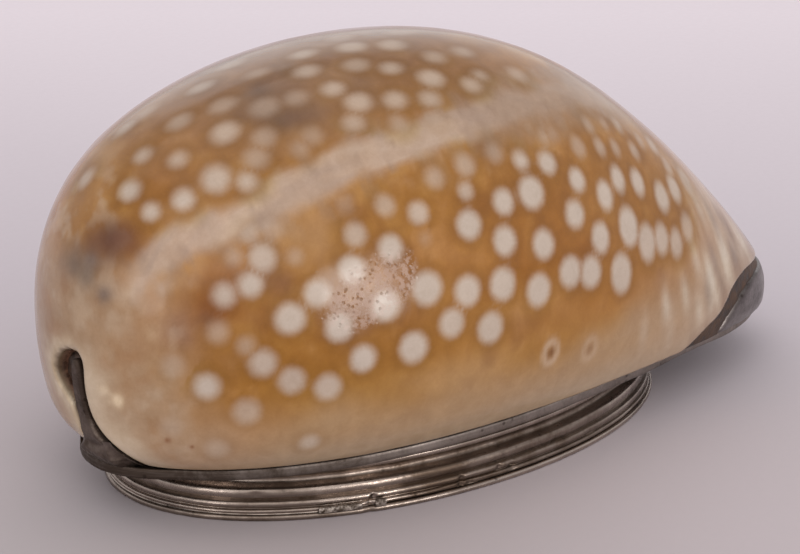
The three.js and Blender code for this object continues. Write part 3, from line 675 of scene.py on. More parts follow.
def paint(p, c, th, depth):
    """Pattern of the shell at points p: ground colour, spot colour, signed distance to the nearest spot, its strength,
    wear with a painted highlight.
    """
    n = len(p)
    big, mid, small = fbm(p / 11, 3, 21), fbm(p / 4.2, 3, 31), fbm(p / 1.5, 3, 41)
    x, y, z = p.T
    near = sstep(0.25, -0.6, np.cos(th))
    brown = rgb(158, 109, 48)
    pale = rgb(182, 136, 84)
    deep = rgb(120, 72, 30)
    col = np.tile(brown, (n, 1))

    def lay(mask, colour):
        nonlocal col
        m = np.clip(np.asarray(mask, float), 0, 1)[:, None]
        col = col * (1 - m) + np.asarray(colour) * m

    lay(0.50 * sstep(-0.1, 0.6, big), pale)
    lay(0.50 * sstep(0.05, 0.55, -mid), deep)
    lay(0.30 * sstep(0.1, 0.6, small), pale)
    net = fbm(p / 2.4 + 11.0, 3, 73)
    lay(0.42 * sstep(0.0, 0.45, net) * sstep(16, 22, z), rgb(134, 88, 30))
    lay(0.32 * sstep(0.05, 0.45, -net) * sstep(16, 22, z), rgb(188, 144, 86))
    # darker, greyer ground on the crown behind the mantle line
    crown = sstep(31, 37, z) * sstep(14, -4, x)
    lay(0.45 * crown, rgb(136, 98, 66))
    lay(0.35 * sstep(35.5, 39.5, z) * sstep(12, -6, x), rgb(118, 88, 70))
    # warm, richer ground on the middle of the labral side; paler toward the margin
    lay(0.45 * np.exp(-(((x + 2) / 16) ** 2 + ((z - 23) / 6) ** 2)) * near, rgb(164, 104, 44))
    lay(0.45 * np.exp(-(((x - 9) / 12) ** 2 + ((z - 15.2) / 2.2) ** 2)) * near, rgb(168, 112, 56))
    edge = 12.6 + 1.3 * fbm(np.stack([x / 6, z / 12, y * 0], -1), 2, 3) + 0.012 * np.clip(x, -10, 40)
    lay(0.80 * sstep(edge + 2.2, edge - 2.2, z), rgb(172, 138, 105))
    lay(0.75 * sstep(10.5, 6.0, z), rgb(180, 154, 128))
    lay(0.45 * sstep(8, 20, x) * sstep(22, 14, z), rgb(172, 140, 114))
    # posterior lobes: greyish cream
    lay(0.85 * sstep(-32.5, -39.5, x + 0.30 * (z - 15)) * sstep(29, 23, z), rgb(176, 148, 120))
    lay(0.40 * sstep(-30, -37, x) * sstep(12.5, 8, z), rgb(186, 156, 128))
    lay(0.5 * np.exp(-((p - np.array([-36.7, -13.4, 21.0])) ** 2).sum(1) / 5.5), rgb(138, 106, 98))
    # anterior end: streaked across
    ant = sstep(20.5, 30.0, x + 0.15 * (20 - z))
    lay(0.85 * ant, rgb(182, 158, 138))
    s1 = fbm(np.stack([x * 0.62 + 0.18 * z, th * 1.3, y * 0.02], -1), 3, 51)
    lay(0.80 * ant * sstep(0.0, 0.35, s1), rgb(146, 118, 98))
    lay(0.7 * ant * sstep(0.05, 0.4, -s1), rgb(206, 186, 164))
    # mantle line
    d, along = line_distance(p, BAND)
    wob = d + 0.9 * mid + 0.45 * small
    taper = sstep(-0.5, 1.0, along) * (1 - 0.85 * sstep(8.0, 10.9, along))
    lay(0.82 * taper * sstep(2.5, 0.8, wob), rgb(188, 166, 148))
    fibre = fbm(np.stack([along * 0.7, (y + 0.10 * x) * 2.2, 0 * x], -1), 3, 63)
    lay(0.32 * taper * sstep(2.4, 1.0, wob) * sstep(0.02, 0.45, fibre), rgb(156, 136, 124))
    lay(0.22 * taper * sstep(2.4, 1.0, wob) * sstep(0.05, 0.45, -fibre), rgb(202, 182, 164))
    st = fbm(np.stack([(x + y * 0.6) * 0.75, (x - y) * 0.22, z * 0.3], -1), 3, 61)
    lay(0.45 * taper * sstep(5.5, 1.5, wob) * sstep(0.0, 0.4, st), rgb(146, 122, 104))
    lay(0.35 * sstep(4.0, 8.0, along) * sstep(7.0, 2.0, wob) * sstep(0.0, 0.4, -st), rgb(176, 154, 136))
    # greyish veil between the mantle line and the first spots on the anterior half
    lay(0.55 * sstep(-10, 2, x) * sstep(5.4, 2.4, wob) * sstep(22, 27, z), rgb(152, 126, 104))
    lay(0.45 * np.exp(-((p - np.array([-24.5, -17.0, 28.4])) ** 2).sum(1) / 9.0), rgb(192, 154, 112))
    lay(0.60 * np.exp(-(((x + 4.0) / 6.5) ** 2 + ((z - 18.4) / 1.6) ** 2)) * near, rgb(190, 146, 98))
    lay(0.35 * np.exp(-(((x + 13.0) / 6.0) ** 2 + ((z - 13.6) / 1.8) ** 2)) * near, rgb(188, 150, 112))
    lobe = sstep(-33.0, -38.5, x)
    cloud = fbm(p / 2.3 + 7.0, 3, 67)
    lay(0.42 * lobe * sstep(0.02, 0.45, cloud), rgb(160, 116, 74))
    lay(0.35 * lobe * sstep(0.05, 0.45, -cloud), rgb(200, 180, 158))
    # dark blotches
    for q, r, a, k in (((-39.2, -6.4, 28.1), 2.3, 0.9, (92, 58, 44)), ((-38.4, -7.5, 28.7), 1.5, 0.55, (104, 60, 40)), ((-40.0, -4.7, 27.4), 1.5, 0.5, (112, 72, 54)),
                       ((-40.6, -5.1, 26.0), 1.1, 0.55, (104, 92, 90)), ((-41.1, -1.6, 25.0), 1.6, 0.45, (120, 98, 84)), ((-33.9, -15.2, 22.6), 0.9, 0.5, (118, 60, 24)),
                       ((-37.9, -8.2, 27.6), 1.5, 0.6, (112, 66, 44)),
                       ((-34.0, -15.2, 22.7), 1.9, 0.75, (126, 72, 26)), ((-34.6, -14.8, 22.0), 0.8, 0.5, (98, 74, 68)),
                       ((-22.2, -6, 38.9), 1.9, 0.6, (86, 66, 56)), ((-22.9, -10.1, 37.2), 1.8, 0.65, (82, 62, 52)),
                       ((-25.5, -7.6, 37.6), 1.7, 0.45, (100, 72, 54)), ((-20.0, -11.0, 37.6), 2.0, 0.5, (92, 66, 52)),
                       ((-18.5, -4.6, 39.8), 1.8, 0.4, (98, 74, 60)), ((-13.5, -10.0, 38.9), 1.6, 0.3, (104, 76, 56)),
                       ((-40.7, -7.3, 23.4), 0.8, 0.6, (96, 88, 90)), ((-41.1, -3.4, 25.2), 1.5, 0.6, (98, 88, 84)),
                       ((-41.3, -5.2, 24.6), 1.2, 0.6, (106, 92, 82)), ((-29.5, -19.0, 12.6), 1.8, 0.25, (150, 104, 62)),
                       ((-33.2, -16.4, 17.6), 1.5, 0.35, (150, 110, 76)), ((-35.6, -14.6, 12.6), 1.6, 0.45, (158, 114, 66)),
                       ((-28.8, -17.9, 24.6), 1.4, 0.45, (118, 78, 58)), ((-30.3, -17.6, 21.6), 1.5, 0.35, (128, 84, 56)),
                       ((-38.8, -10.6, 19.6), 2.2, 0.4, (160, 116, 76)), ((-33.0, -15.0, 24.4), 2.8, 0.6, (150, 90, 34)),
                       ((-34.5, -8.0, 33.4), 3.2, 0.45, (150, 100, 54)), ((-30.0, -6.0, 36.4), 3.0, 0.35, (150, 104, 60)),
                       ((-37.5, -12.2, 9.9), 0.28, 0.85, (124, 66, 28)), ((-35.8, -13.6, 9.3), 0.22, 0.75, (124, 66, 28))):
        e = np.linalg.norm(p - np.array(q), axis=1) * (1 + 0.35 * mid) / r
        lay(a * np.exp(-e ** 2), rgb(*k))
    # narrow pale streaks low on the anterior half
    for q in STREAKS:
        dd = p - np.array(q)
        lay(0.45 * np.exp(-(dd[:, 0] / 0.7) ** 2 - ((dd[:, 2] + 0.6 * dd[:, 0]) / 2.2) ** 2 - (dd[:, 1] / 3) ** 2), rgb(188, 164, 142))
    # pale and dusky marks on the anterior end, drawn out across it
    for q, ln, a, k in (((30.5, -14.5, 16.2), 2.4, 0.85, (134, 106, 84)), ((28.0, -16.3, 15.5), 1.6, 0.6, (208, 192, 174)), ((25.7, -17.3, 15.0), 2.2, 0.6, (134, 112, 100)),
                        ((25.0, -17.8, 13.3), 2.2, 0.7, (210, 194, 176)), ((24.5, -18.0, 11.6), 1.8, 0.5, (132, 112, 100)), ((20.4, -19.0, 12.8), 2.0, 0.55, (202, 184, 164)),
                        ((17.2, -19.7, 12.4), 1.7, 0.55, (204, 184, 164)), ((22.4, -18.1, 16.4), 2.2, 0.6, (208, 190, 172)), ((25.1, -15.4, 20.3), 2.2, 0.6, (206, 188, 170)),
                        ((23.1, -18.3, 10.2), 1.6, 0.45, (204, 186, 166)), ((30.1, -15.8, 13.9), 1.7, 0.6, (136, 116, 104)), ((29.4, -14.1, 17.9), 1.8, 0.5, (140, 118, 102)),
                        ((27.4, -15.0, 18.2), 2.4, 0.5, (130, 110, 100))):
        dd = p - np.array(q)
        sl = dd[:, 0] + 0.22 * dd[:, 2]
        lay(a * np.exp(-(sl / 0.62) ** 2 - (dd[:, 2] / ln) ** 2 - (dd[:, 1] / 2.6) ** 2), rgb(*k))
    # growth lines
    gl = fbm(np.stack([c * 60, th * 0.8, 0 * c], -1), 2, 71)
    col = col * (1 + 0.045 * gl)[:, None] * (1 + 0.05 * small)[:, None]

    sd, strength = np.full(n, 3.0), np.zeros(n)
    skew = 0.16 * mid + 0.10 * small
    for sx, sy, sz, r, a in SPOTS + FAR:
        m = (np.abs(x - sx) < 5) & (np.abs(z - sz) < 5) & (np.abs(y - sy) < 5)
        if not m.any():
            continue
        k = stretch(sx)
        top = float(sstep(33, 38.5, sz))
        dx, dy, dz = x[m] - sx, y[m] - sy, z[m] - sz
        dist = np.sqrt((dx * (1 + 0.22 * k)) ** 2 + (dy * (1 - 0.12 * k + 0.35 * top)) ** 2 + (dz * (1 - 0.14 * k)) ** 2) * (1 + 0.45 * skew[m]) - r * 0.96
        cur = sd[m]
        hit = dist < cur
        cur[hit] = dist[hit]
        sd[m] = cur
        s = strength[m]
        s[hit] = a
        strength[m] = s
    between = (sstep(2.4, 0.5, sd) * sstep(0.2, 0.8, strength) * sstep(13.5, 17, z) * sstep(27, 22, x))[:, None]
    col = col * (1 - between * np.array([0.11, 0.17, 0.46]))
    lift = (sstep(18, 13.5, z) * near * sstep(-34, -26, x))[:, None]
    col = col * (1 + lift * np.array([0.05, 0.14, 0.20]))
    strength = strength * (1 - 0.8 * sstep(24, 31, x))
    spotc = np.tile(rgb(192, 176, 161), (n, 1)) * (1 + 0.07 * mid)[:, None]
    high = sstep(30, 36, z)[:, None]
    spotc = spotc * (1 - high) + rgb(178, 156, 136) * (1 + 0.10 * mid)[:, None] * high
    blue = np.exp(-(((x + 27) / 8) ** 2 + ((z - 16) / 4) ** 2))[:, None] * 0.5
    spotc = spotc * (1 - blue) + rgb(186, 174, 166) * blue
    for ox, oy, oz, r, a in OCELLI:
        e = np.sqrt(((x - ox) / 0.95) ** 2 + (y - oy) ** 2 + ((z - oz) / 1.15) ** 2)
        lay(a * np.exp(-((e - 0.95) / 0.42) ** 2), rgb(192, 166, 140))
        lay(a * np.exp(-(e / 0.50) ** 2), rgb(108, 64, 38))
    # pitted patch on the crown; the same mask places a painted highlight where the front light's highlight falls
    w = p - WEAR_HIGHLIGHT_CENTRE
    u, t = w[:, 0] * 0.90 + w[:, 2] * 0.43, -w[:, 0] * 0.43 + w[:, 2] * 0.90
    wear_and_highlight = sstep(1.15, 0.75, np.sqrt((u / 4.6) ** 2 + (t / 2.3) ** 2) + 0.35 * mid + 0.15 * small) * sstep(-12, -17, y)
    # whitish mottled patches low on the posterior lobe: a painted reflection of the pale floor
    for q, r, a in (((-41.25, -7.2, 14.3), 0.75, 1.0), ((-40.6, -8.5, 13.4), 0.65, 0.9), ((-40.9, -7.7, 13.0), 0.4, 0.7), ((-38.6, -11.8, 20.6), 0.8, 0.35)):
        e = np.linalg.norm(p - np.array(q), axis=1) / r
        lay(a * np.clip(np.exp(-e ** 2) * (1.0 + 1.6 * small), 0, 1), rgb(236, 214, 182))
    # the cut edges are bare and stained next to the bedding; the darkening right at the edges is pitch stain together
    # with painted shade of the gap beside them
    ng = notch_gap(p + CENTRE)
    halo = sstep(2.6, 0.4, ng + 1.0 * mid + 0.5 * small) * (x < -33)
    lay(0.75 * halo * sstep(-2.6, -0.8, y + CENTRE[1]), rgb(206, 188, 162))
    lay(0.65 * halo * sstep(0.0, 0.4, small) * sstep(-2.6, -0.8, y + CENTRE[1]), rgb(224, 206, 178))
    lay(0.85 * sstep(5.0, 0.8, ng) * sstep(-0.5, -2.5, y + CENTRE[1]) * sstep(20, 14, z), rgb(222, 204, 180))
    lay(0.55 * sstep(1.7, 0.5, ng) * sstep(-0.5, -2.5, y + CENTRE[1]), rgb(206, 186, 160))
    lay(0.8 * sstep(0.16, -0.1, ng), rgb(84, 62, 44))
    lay(0.45 * sstep(2.6, 0.6, cap_gap(p + CENTRE, END_LINE)) * (x > 22), rgb(158, 130, 108))
    lay(0.6 * sstep(0.25, 0.0, cap_gap(p + CENTRE, END_LINE)), rgb(96, 74, 58))
    lay(0.5 * sstep(0.35, 0.0, z - CUT_Z), rgb(120, 92, 68))
    soft = 0.62 + 0.28 * sstep(29, 35, z) + 0.15 * sstep(-26, -33, x) * sstep(30, 26, z)
    stain = sstep(0.03, 0.16, depth) * sstep(7.0, 4.5, np.where(p[:, 0] < -33, np.abs(ng), 9.0)) * sstep(0.55, 0.2, ng)
    return np.clip(col, 0, 1), np.clip(spotc, 0, 1), sd, strength, wear_and_highlight, soft, stain


FAR = far_spots()
WEAR_HIGHLIGHT_CENTRE = np.array([-20.6, -20.9, 23.1])

fine = 1.0
v, f, dep, th, cc, ff = skin(keep_shell, 0.0, WALL, 0.0, 0.92, int(270 * fine), int(330 * fine), lip=shell_lip, rings=3)
ground, spotc, sd, strength, wear_and_highlight, soft, stain = paint(v - CENTRE, cc, th, dep)
shell = make("cowrie_shell_glazed", v, f, "box", ["cowrie_shell"],
             dict(ground=ground, spot_colour=spotc, spot=sd, strength=strength, depth=dep, wear_and_highlight=wear_and_highlight, soft=soft, stain=stain), sharp=55)
shell.data.materials.append(shell_material())

# ---------------------------------------------------------------- bedding and end pieces
PITCH_M, SOLDER_M = pitch_material(), solder_material()
SILVER_M = silver_material("mount_silver")
DARK_M = silver_material("mount_silver_dark", bright=(0.30, 0.245, 0.210), dark=(0.082, 0.060, 0.048), base=0.5, rough=(0.3, 0.55), scratch=0.15)
LID_M = silver_material("lid_silver", bright=(0.46, 0.41, 0.37), base=0.30, rough=(0.26, 0.46))
PLATE_M = silver_material("plate_silver", bright=(0.34, 0.295, 0.265), dark=(0.078, 0.058, 0.046), base=0.34, rough=(0.38, 0.55), scratch=0.25)
CAP_M = silver_material("cap_silver", bright=(0.27, 0.245, 0.235), dark=(0.060, 0.046, 0.042), base=0.45, rough=(0.30, 0.52), scratch=0.2)


def lumps(p, f):
    return 0.15 + 0.30 * fbm(p / 1.3, 3, 81) + roll(np.maximum(f, 0), np.full(f.shape, 0.35))


v, f, dep, th, cc, ff = skin(lambda p: np.where(p[..., 0] < -30, -outline_distance(p[..., 1], p[..., 2], PITCH_AREA), -9.0),
                             1.15, 2.9, 0.001, 0.24, 60, 170, lip=lumps, pole=-1)
ob = make("notch_pitch_fill", v, f, "box", ["posterior_pitch"])
ob.data.materials.append(PITCH_M)


def keep_strap(p):
    d = np.where(p[..., 0] < -30, -outline_distance(p[..., 1], p[..., 2], STRAP), -9.0)
    return np.minimum(np.minimum(d, p[..., 2] - 5.65), -36.9 - p[..., 0])


v1, f1, dep, th, cc, ff = skin(keep_strap, 0.15, 0.95, 0.001, 0.24, 70, 200, pole=-1,
                               lip=lambda p, f: roll(np.maximum(f, 0), np.full(f.shape, 0.28)) + 0.05 + 0.05 * fbm(p / 1.1, 3, 83) - 0.27 * sstep(10.6, 8.5, p[..., 2]))
cav1 = 0.25 + 0.25 * sstep(0.6, 0.0, ff)


def keep_foot(p):
    d = np.where(p[..., 0] < -30, np.minimum(p[..., 1] + 4.85 + 0.3 * np.sin(p[..., 2] * 1.3), 1.35 - p[..., 1] - 2.05 * sstep(6.5, 8.3, p[..., 2])), -9.0)
    return np.minimum(np.minimum(d, p[..., 2] - 5.66), 8.35 + 0.25 * np.sin(p[..., 1] * 1.1 + 0.6) - p[..., 2])


def foot_lump(p, f):
    swell = (0.12 + 1.05 * sstep(8.5, 6.2, p[..., 2])) * sstep(0.0, 1.1, np.where(p[..., 2] < 6.7, np.minimum(p[..., 1] + 4.85, 1.35 - p[..., 1]), f))
    return -swell * (1 + 0.25 * fbm(p / 1.2, 3, 89)) - 0.01


v2, f2, dep, th, cc, ff = skin(keep_foot, 0.0, 0.04, 0.001, 0.24, 160, 420, pole=-1, lip=foot_lump)
v, f = joined([(v1, f1), (v2, f2)])
ob = make("canal_strap_sheet", v, f, "box", ["posterior_canal_strap"], dict(cav=np.concatenate([cav1, 0.32 + 0.35 * fbm(v2 / 0.9, 3, 97)])), sharp=60)
ob.data.materials.append(DARK_M)


def keep_cap(p):
    return np.minimum(-cap_gap(p, CAP_LINE), p[..., 2] - CUT_Z)


v, f, dep, th, cc, ff = skin(keep_cap, 0.12, 1.0, 0.66, 0.9985, 110, 260, pole=1,
                             lip=lambda p, f: roll(np.maximum(f, 0), np.full(f.shape, 0.30)) + 0.05 + 0.04 * fbm(p / 2.6, 3, 85))
ob = make("canal_cap_sheet", v, f, "box", ["anterior_canal_cap"],
          dict(cav=np.clip(0.30 * sstep(1.2, 0.0, ff) - 0.45 * sstep(7.2, 6.0, v[:, 2]) - 0.12, -0.5, 1)), sharp=60)
ob.data.materials.append(CAP_M)


def keep_cap_pitch(p):
    return np.minimum(np.minimum(cap_gap(p, CAP_LINE) - 0.03, -cap_gap(p, END_LINE) - 0.02), p[..., 2] - CUT_Z)


v, f, dep, th, cc, ff = skin(keep_cap_pitch, 0.35, 2.2, 0.62, 0.97, 420, 300, lip=lambda p, f: 0.05 + 0.10 * fbm(p / 1.4, 3, 87))
ob = make("cap_pitch_line", v, f, "box", ["anterior_pitch"])
ob.data.materials.append(PITCH_M)

# ---------------------------------------------------------------- mount
N_RING = 420
ts = np.linspace(0, 2 * PI, N_RING, endpoint=False)


def wrap(t):
    """Angle in degrees, -180 to 180, 0 at the middle of the -Y side."""
    return (np.degrees(t) + 180) % 360 - 180


def bumpy(x, c, w):
    return np.exp(-((x - c) / w) ** 2)


def arc(z, half, base, bulge, n=11, a0=-0.94, a1=0.94):
    return [(base - bulge * math.sqrt(max(0.0, 1 - u * u)), z + half * u) for u in np.linspace(a0, a1, n)]


MOULD = [(2.97, 0.66), (1.6, 0.66), (0.42, 0.665)] + arc(0.88, 0.22, 0.46, 0.20, 9) + [(0.56, 1.12)] + arc(1.50, 0.36, 0.66, 0.26) \
    + [(0.82, 1.90)] + arc(2.48, 0.56, 0.98, 0.30, 15) + [(1.30, 3.10), (1.66, 3.16), (1.86, 3.30), (1.95, 3.52), (1.93, 3.72), (1.80, 3.93), (1.62, 4.04), (1.50, 4.12), (1.46, 4.20), (1.45, 4.50), (1.49, 4.56), (2.97, 4.56)]
hx0, hx1 = HINGE_X - HINGE_L / 2, HINGE_X + HINGE_L / 2


def mould_shape(t, i, z):
    d = wrap(t)
    outer = (i < 2.2) & (z > 0.68) & (z < 4.05)
    p = np.stack([t * 30, z * 0.9, i * 0], -1)
    wear = 0.045 * fbm(p * 0.6, 3, 91) + 0.02 * fbm(p * 2.2, 2, 93)
    up = 0.04 * fbm(np.stack([t * 9, z * 0.3, i * 0], -1), 2, 95)
    di = np.where(outer, wear, 0)
    dz = np.where(outer, up * sstep(4.0, 3.2, z) * sstep(0.68, 1.0, z), 0)
    # knocks in the reeds
    for c, w, zc, h in ((-27.5, 0.55, 1.5, 0.24), (-9.5, 0.5, 1.5, 0.22), (-1.5, 0.5, 1.5, 0.20), (-9.8, 0.5, 0.9, 0.20), (-8.0, 0.4, 0.9, 0.16),
                        (1.2, 0.7, 1.15, 0.24), (12.0, 0.4, 1.9, 0.12), (-28.0, 0.9, 0.9, 0.20), (22.0, 0.5, 1.5, 0.12), (-52.0, 0.7, 2.5, 0.14), (60.0, 0.8, 0.9, 0.16), (118.0, 0.8, 1.5, 0.18)):
        di = di + np.where(outer, h * bumpy(d, c, w) * bumpy(z, zc, 0.30), 0)
    # the lowest reed is worn flat near the middle
    di = di + np.where(outer, 0.10 * sstep(-16, -12, d) * sstep(2, -4, d) * bumpy(z, 0.88, 0.22), 0)
    # the hollow dies out toward the anterior end
    fill = sstep(33, 47, d) * sstep(150, 120, d)
    di = di - np.where(outer & (z > 3.0), 0.42 * fill * bumpy(z, 3.6, 0.46), 0)
    # on the posterior side the lowest reed runs down into the lid's edge
    low = sstep(-27, -31, d) * sstep(-178, -150, d) * (z < 0.70)
    i = np.where(low > 0, i - low * np.where(i < 0.9, 0.14, 0.0), i)
    dz = dz - 0.03 * low * (i < 0.9)
    # recess for the hinge leaf
    x, y = oval(t, i)
    rec = (np.abs(x - HINGE_X) < HINGE_L / 2 + 0.16) & (y > 5) & (z < 3.47)
    need = np.clip((y - 18.25) / 1.0, 0, None)
    i2 = np.where(rec, i + need * 1.03, i + di)
    return i2, z + np.where(rec, 0, dz)


def refine(ts, places, width=0.02, n=6):
    extra = [p + k * width / n for p in places for k in range(-n, n + 1)]
    return np.array(sorted(set(np.round(np.mod(np.concatenate([ts, extra]), 2 * PI), 6))))


ends = []
for e in (hx0 - 0.16, hx1 + 0.16):
    u = (e - RING_X) / (RING_A - 1.2)
    ends.append(PI - math.asin(spow(u, RING_N / 2)))
mts = refine(ts, ends + [math.radians(q) for q in (-27.5, -9.5, -1.5, 1.2)], 0.02, 6)
v, f, tt, ii, zz = sweep(MOULD, mts, shape=mould_shape)
d = wrap(tt)
# darker in the grooves and the hollow: tarnish, with painted shade that keeps their reflections dark
groove = 0.45 * bumpy(zz, 1.12, 0.07) + 0.65 * bumpy(zz, 1.90, 0.09)
hollow = sstep(3.02, 3.2, zz) * sstep(4.16, 4.02, zz) * (1 - 0.85 * sstep(33, 47, d) * sstep(150, 120, d)) * (ii < 2.3)
left = sstep(-55, -85, d) * sstep(-175, -140, d)
wall = (zz > 0.67) & (ii < 2.4)
# painted shade: the outer reeds are darkened from -24 to -6 degrees, along the lowest edge from -34 to -8 degrees, and
# in bands from -55 to -42 and -15 to 20 degrees beside the lights' reflections, to dim the reflections there
shade = sstep(-24, -19, d) * sstep(-6, -12, d) * (zz < 3.0) * wall
cav = np.clip(0.50 * groove + (0.50 - 0.20 * sstep(-16, -32, d) - 0.35 * sstep(-46, -58, d) * sstep(-179, -130, d)) * hollow - 0.08 * left + 0.20 * sstep(2.6, 2.9, ii) - 0.02 * bumpy(zz, 0.9, 0.3) + 0.50 * shade + 0.30 * sstep(-34, -28, d) * sstep(-8, -14, d) * sstep(0.76, 0.70, zz)
              + 0.30 * sstep(-20, -36, d) * sstep(-179, -130, d) * (zz > 4.0)
              + 0.30 * (sstep(-61, -55, d) * sstep(-36, -42, d) + 1.35 * sstep(-21, -15, d) * sstep(34, 20, d)) * (zz < 3.05) * wall, -0.3, 1)
cav = cav + 0.15 * sstep(-14, -11, d) * sstep(1.5, -2, d) * bumpy(zz, 0.9, 0.2)
ob = make("mount_reeding", v, f, "box", ["reeded_moulding"], dict(cav=cav), sharp=60)
ob.data.materials.append(SILVER_M)


def flat_ring(outer, inner_inset, section, lump=None):
    """Plate between a free outline and the oval hole. section: (0 at the rim .. 1 at the hole, inward mm, z)."""
    cx, cy = RING_X, RING_Y
    ang = np.arctan2((outer[:, 0] - cx) / RING_A, -(outer[:, 1] - cy) / RING_B)
    s = np.sin(ang), np.cos(ang)
    hx = cx + (RING_A - inner_inset) * spow(s[0], 2 / RING_N)
    hy = cy - (RING_B - inner_inset) * spow(s[1], 2 / RING_N)
    tan = np.roll(outer, -1, 0) - np.roll(outer, 1, 0)
    nrm = np.stack([tan[:, 1], -tan[:, 0]], -1) / (np.linalg.norm(tan, axis=1)[:, None] + 1e-9)
    mid = outer.mean(0)
    if ((outer - mid) * nrm).sum() > 0:
        nrm = -nrm
    n, m = len(outer), len(section)
    v = np.zeros((n, m, 3))
    for j, (w, off, z) in enumerate(section):
        o = outer + nrm * off
        v[:, j, 0] = o[:, 0] * (1 - w) + hx * w
        v[:, j, 1] = o[:, 1] * (1 - w) + hy * w
        v[:, j, 2] = z
    if lump:
        v = lump(v, ang)
    v = v.reshape(-1, 3)
    f = []
    for i in range(n):
        for j in range(m):
            a, b = i * m + j, i * m + (j + 1) % m
            c, d2 = ((i + 1) % n) * m + (j + 1) % m, ((i + 1) % n) * m + j
            f.append([a, b, c, d2])
    if signed_volume(v, f) < 0:
        f = [q[::-1] for q in f]
    return v, f


PLATE_INSET = np.array([(-180, 0.35), (-108, 0.35), (-98, -0.9), (-92, -1.5), (-84, -1.45), (-78, -0.9), (-66, 0.35), (5, 0.35),
                        (18, 0.6), (28, 0.84), (40, 1.0), (47, 1.4), (53, 1.4), (57, 1.05), (124, 1.05), (150, 0.35), (180, 0.35)])


def plate_outline(extra, least, n):
    o = cut_outline(0.0, n)
    d = np.degrees(np.arctan2((o[:, 0] - RING_X) / RING_A, -(o[:, 1] - RING_Y) / RING_B))
    k = np.interp(d, PLATE_INSET[:, 0], PLATE_INSET[:, 1])
    w = np.hanning(17)
    k = np.convolve(np.concatenate([k[-8:], k, k[:8]]), w / w.sum(), "valid")
    k = np.maximum(k, least) + extra
    t = np.roll(o, -1, 0) - np.roll(o, 1, 0)
    q = np.stack([t[:, 1], -t[:, 0]], -1) / (np.linalg.norm(t, axis=1)[:, None] + 1e-9)
    q = np.where(((q * o).sum(1) > 0)[:, None], -q, q)
    return o + q * k[:, None]


def plate_lumps(v, ang):
    d = np.degrees(ang)[:, None]
    e = sstep(-66, -80, d) * sstep(-125, -108, d)
    p = v * 0.9
    w = 0.16 * e * fbm(p, 3, 101) + 0.03 * fbm(v / 2.3, 2, 103)
    rim = np.zeros(v.shape[:2])
    rim[:, :9] = 1
    v[..., 2] += np.where(rim > 0, np.clip(w * 0.5, -0.1, 0.02), 0)
    k = (v[..., :2] - np.array([RING_X, RING_Y]))
    k = k / np.linalg.norm(k, axis=-1)[..., None]
    v[..., :2] -= k * (np.abs(w) * rim)[..., None]
    return v


edge = plate_outline(0.0, -9, 220)
v, f = flat_ring(edge, BEZEL_OUT - 0.03, [(0, 0.12, 4.585), (0, 0.04, 4.61), (0, 0.0, 4.67), (0, 0.0, 4.98), (0, 0.0, 5.28), (0, 0.01, 5.50), (0, 0.07, 5.60), (0, 0.16, 5.62), (0, 0.29, 5.60), (0, 0.32, 5.50), (0, 0.33, 5.38), (0.5, 0, 5.38), (1, 0, 5.38), (1, 0, 4.58), (0.5, 0, 4.58)], plate_lumps)
a2 = np.degrees(np.arctan2((v[:, 0] - RING_X) / RING_A, -(v[:, 1] - RING_Y) / RING_B))
rimv = np.tile(np.array([1, 1, 1, 1, 1, 1, 1, 1, 1, 0.6, 0.4, 0.2, 0, 0, 0.2]), len(edge))
# the plate's edge darkens toward the posterior side: tarnish, with painted shade that keeps the edge from reflecting
# brightly
cav = rimv * (0.05 + (0.42 * sstep(-18, -40, a2) + 0.25 * sstep(-52, -74, a2)) * sstep(-179, -125, a2) + 0.10 * fbm(v / 1.6, 3, 105))
ob = make("base_plate_sheet", v, f, "box", ["base_plate"], dict(cav=cav), sharp=50)
ob.data.materials.append(PLATE_M)

edge = plate_outline(0.39, 0.35, 200)
# the bedding stops short of the strap foot
near = (edge[:, 0] < -35.5) & (edge[:, 1] > -6.2) & (edge[:, 1] < 0.4)
edge[near, 0] = np.maximum(edge[near, 0], -36.65)
v, f = flat_ring(edge, BEZEL_IN, [(0, 0.10, 5.405), (0, 0.0, 5.50), (0, 0.0, 5.62), (0, 0.12, 5.705), (0.5, 0, 5.71), (1, 0, 5.71), (1, 0, 5.405), (0.5, 0, 5.405)])
ob = make("bedding_layer", v, f, "box", ["pitch_bed"], sharp=50)
ob.data.materials.append(PITCH_M)

v, f, tt, ii, zz = sweep([(3.02, 0.85), (3.0, 0.90), (3.0, 3.0), (3.0, 5.36), (3.03, 5.38), (3.57, 5.38), (3.6, 5.34), (3.6, 3.0), (3.6, 0.92), (3.55, 0.85)], ts,
                         shape=lambda t, i, z: (i + 0.012 * fbm(np.stack([t * 14, z * 0.8, i * 0], -1), 2, 107), z))
ob = make("bezel_band", v, f, "box", ["bezel_wall"], dict(cav=0.25 * sstep(3.3, 3.55, ii)), sharp=45)
ob.data.materials.append(SILVER_M)


# ---------------------------------------------------------------- lid
def ledge(t, i, z):
    x, y = oval(t, i)
    rec = (np.abs(x - HINGE_X) < HINGE_L / 2 + 0.16) & (y > 5)
    lim = HINGE_Y - 2.64
    need = np.clip(y - lim, 0, None)
    dent = 0.02 * fbm(np.stack([t * 16, z, i * 0], -1), 3, 111)
    for c, w, h in ((-28.4, 0.8, 0.14), (14.0, 0.5, 0.05), (47.0, 0.7, 0.07), (-70.0, 0.8, 0.06), (150.0, 1.0, 0.07)):
        dent = dent + h * bumpy(wrap(t), c, w)
    outer = sstep(1.0, 0.2, i)
    return np.where(rec, i + need * 1.02, i + dent * outer + 0.012), z


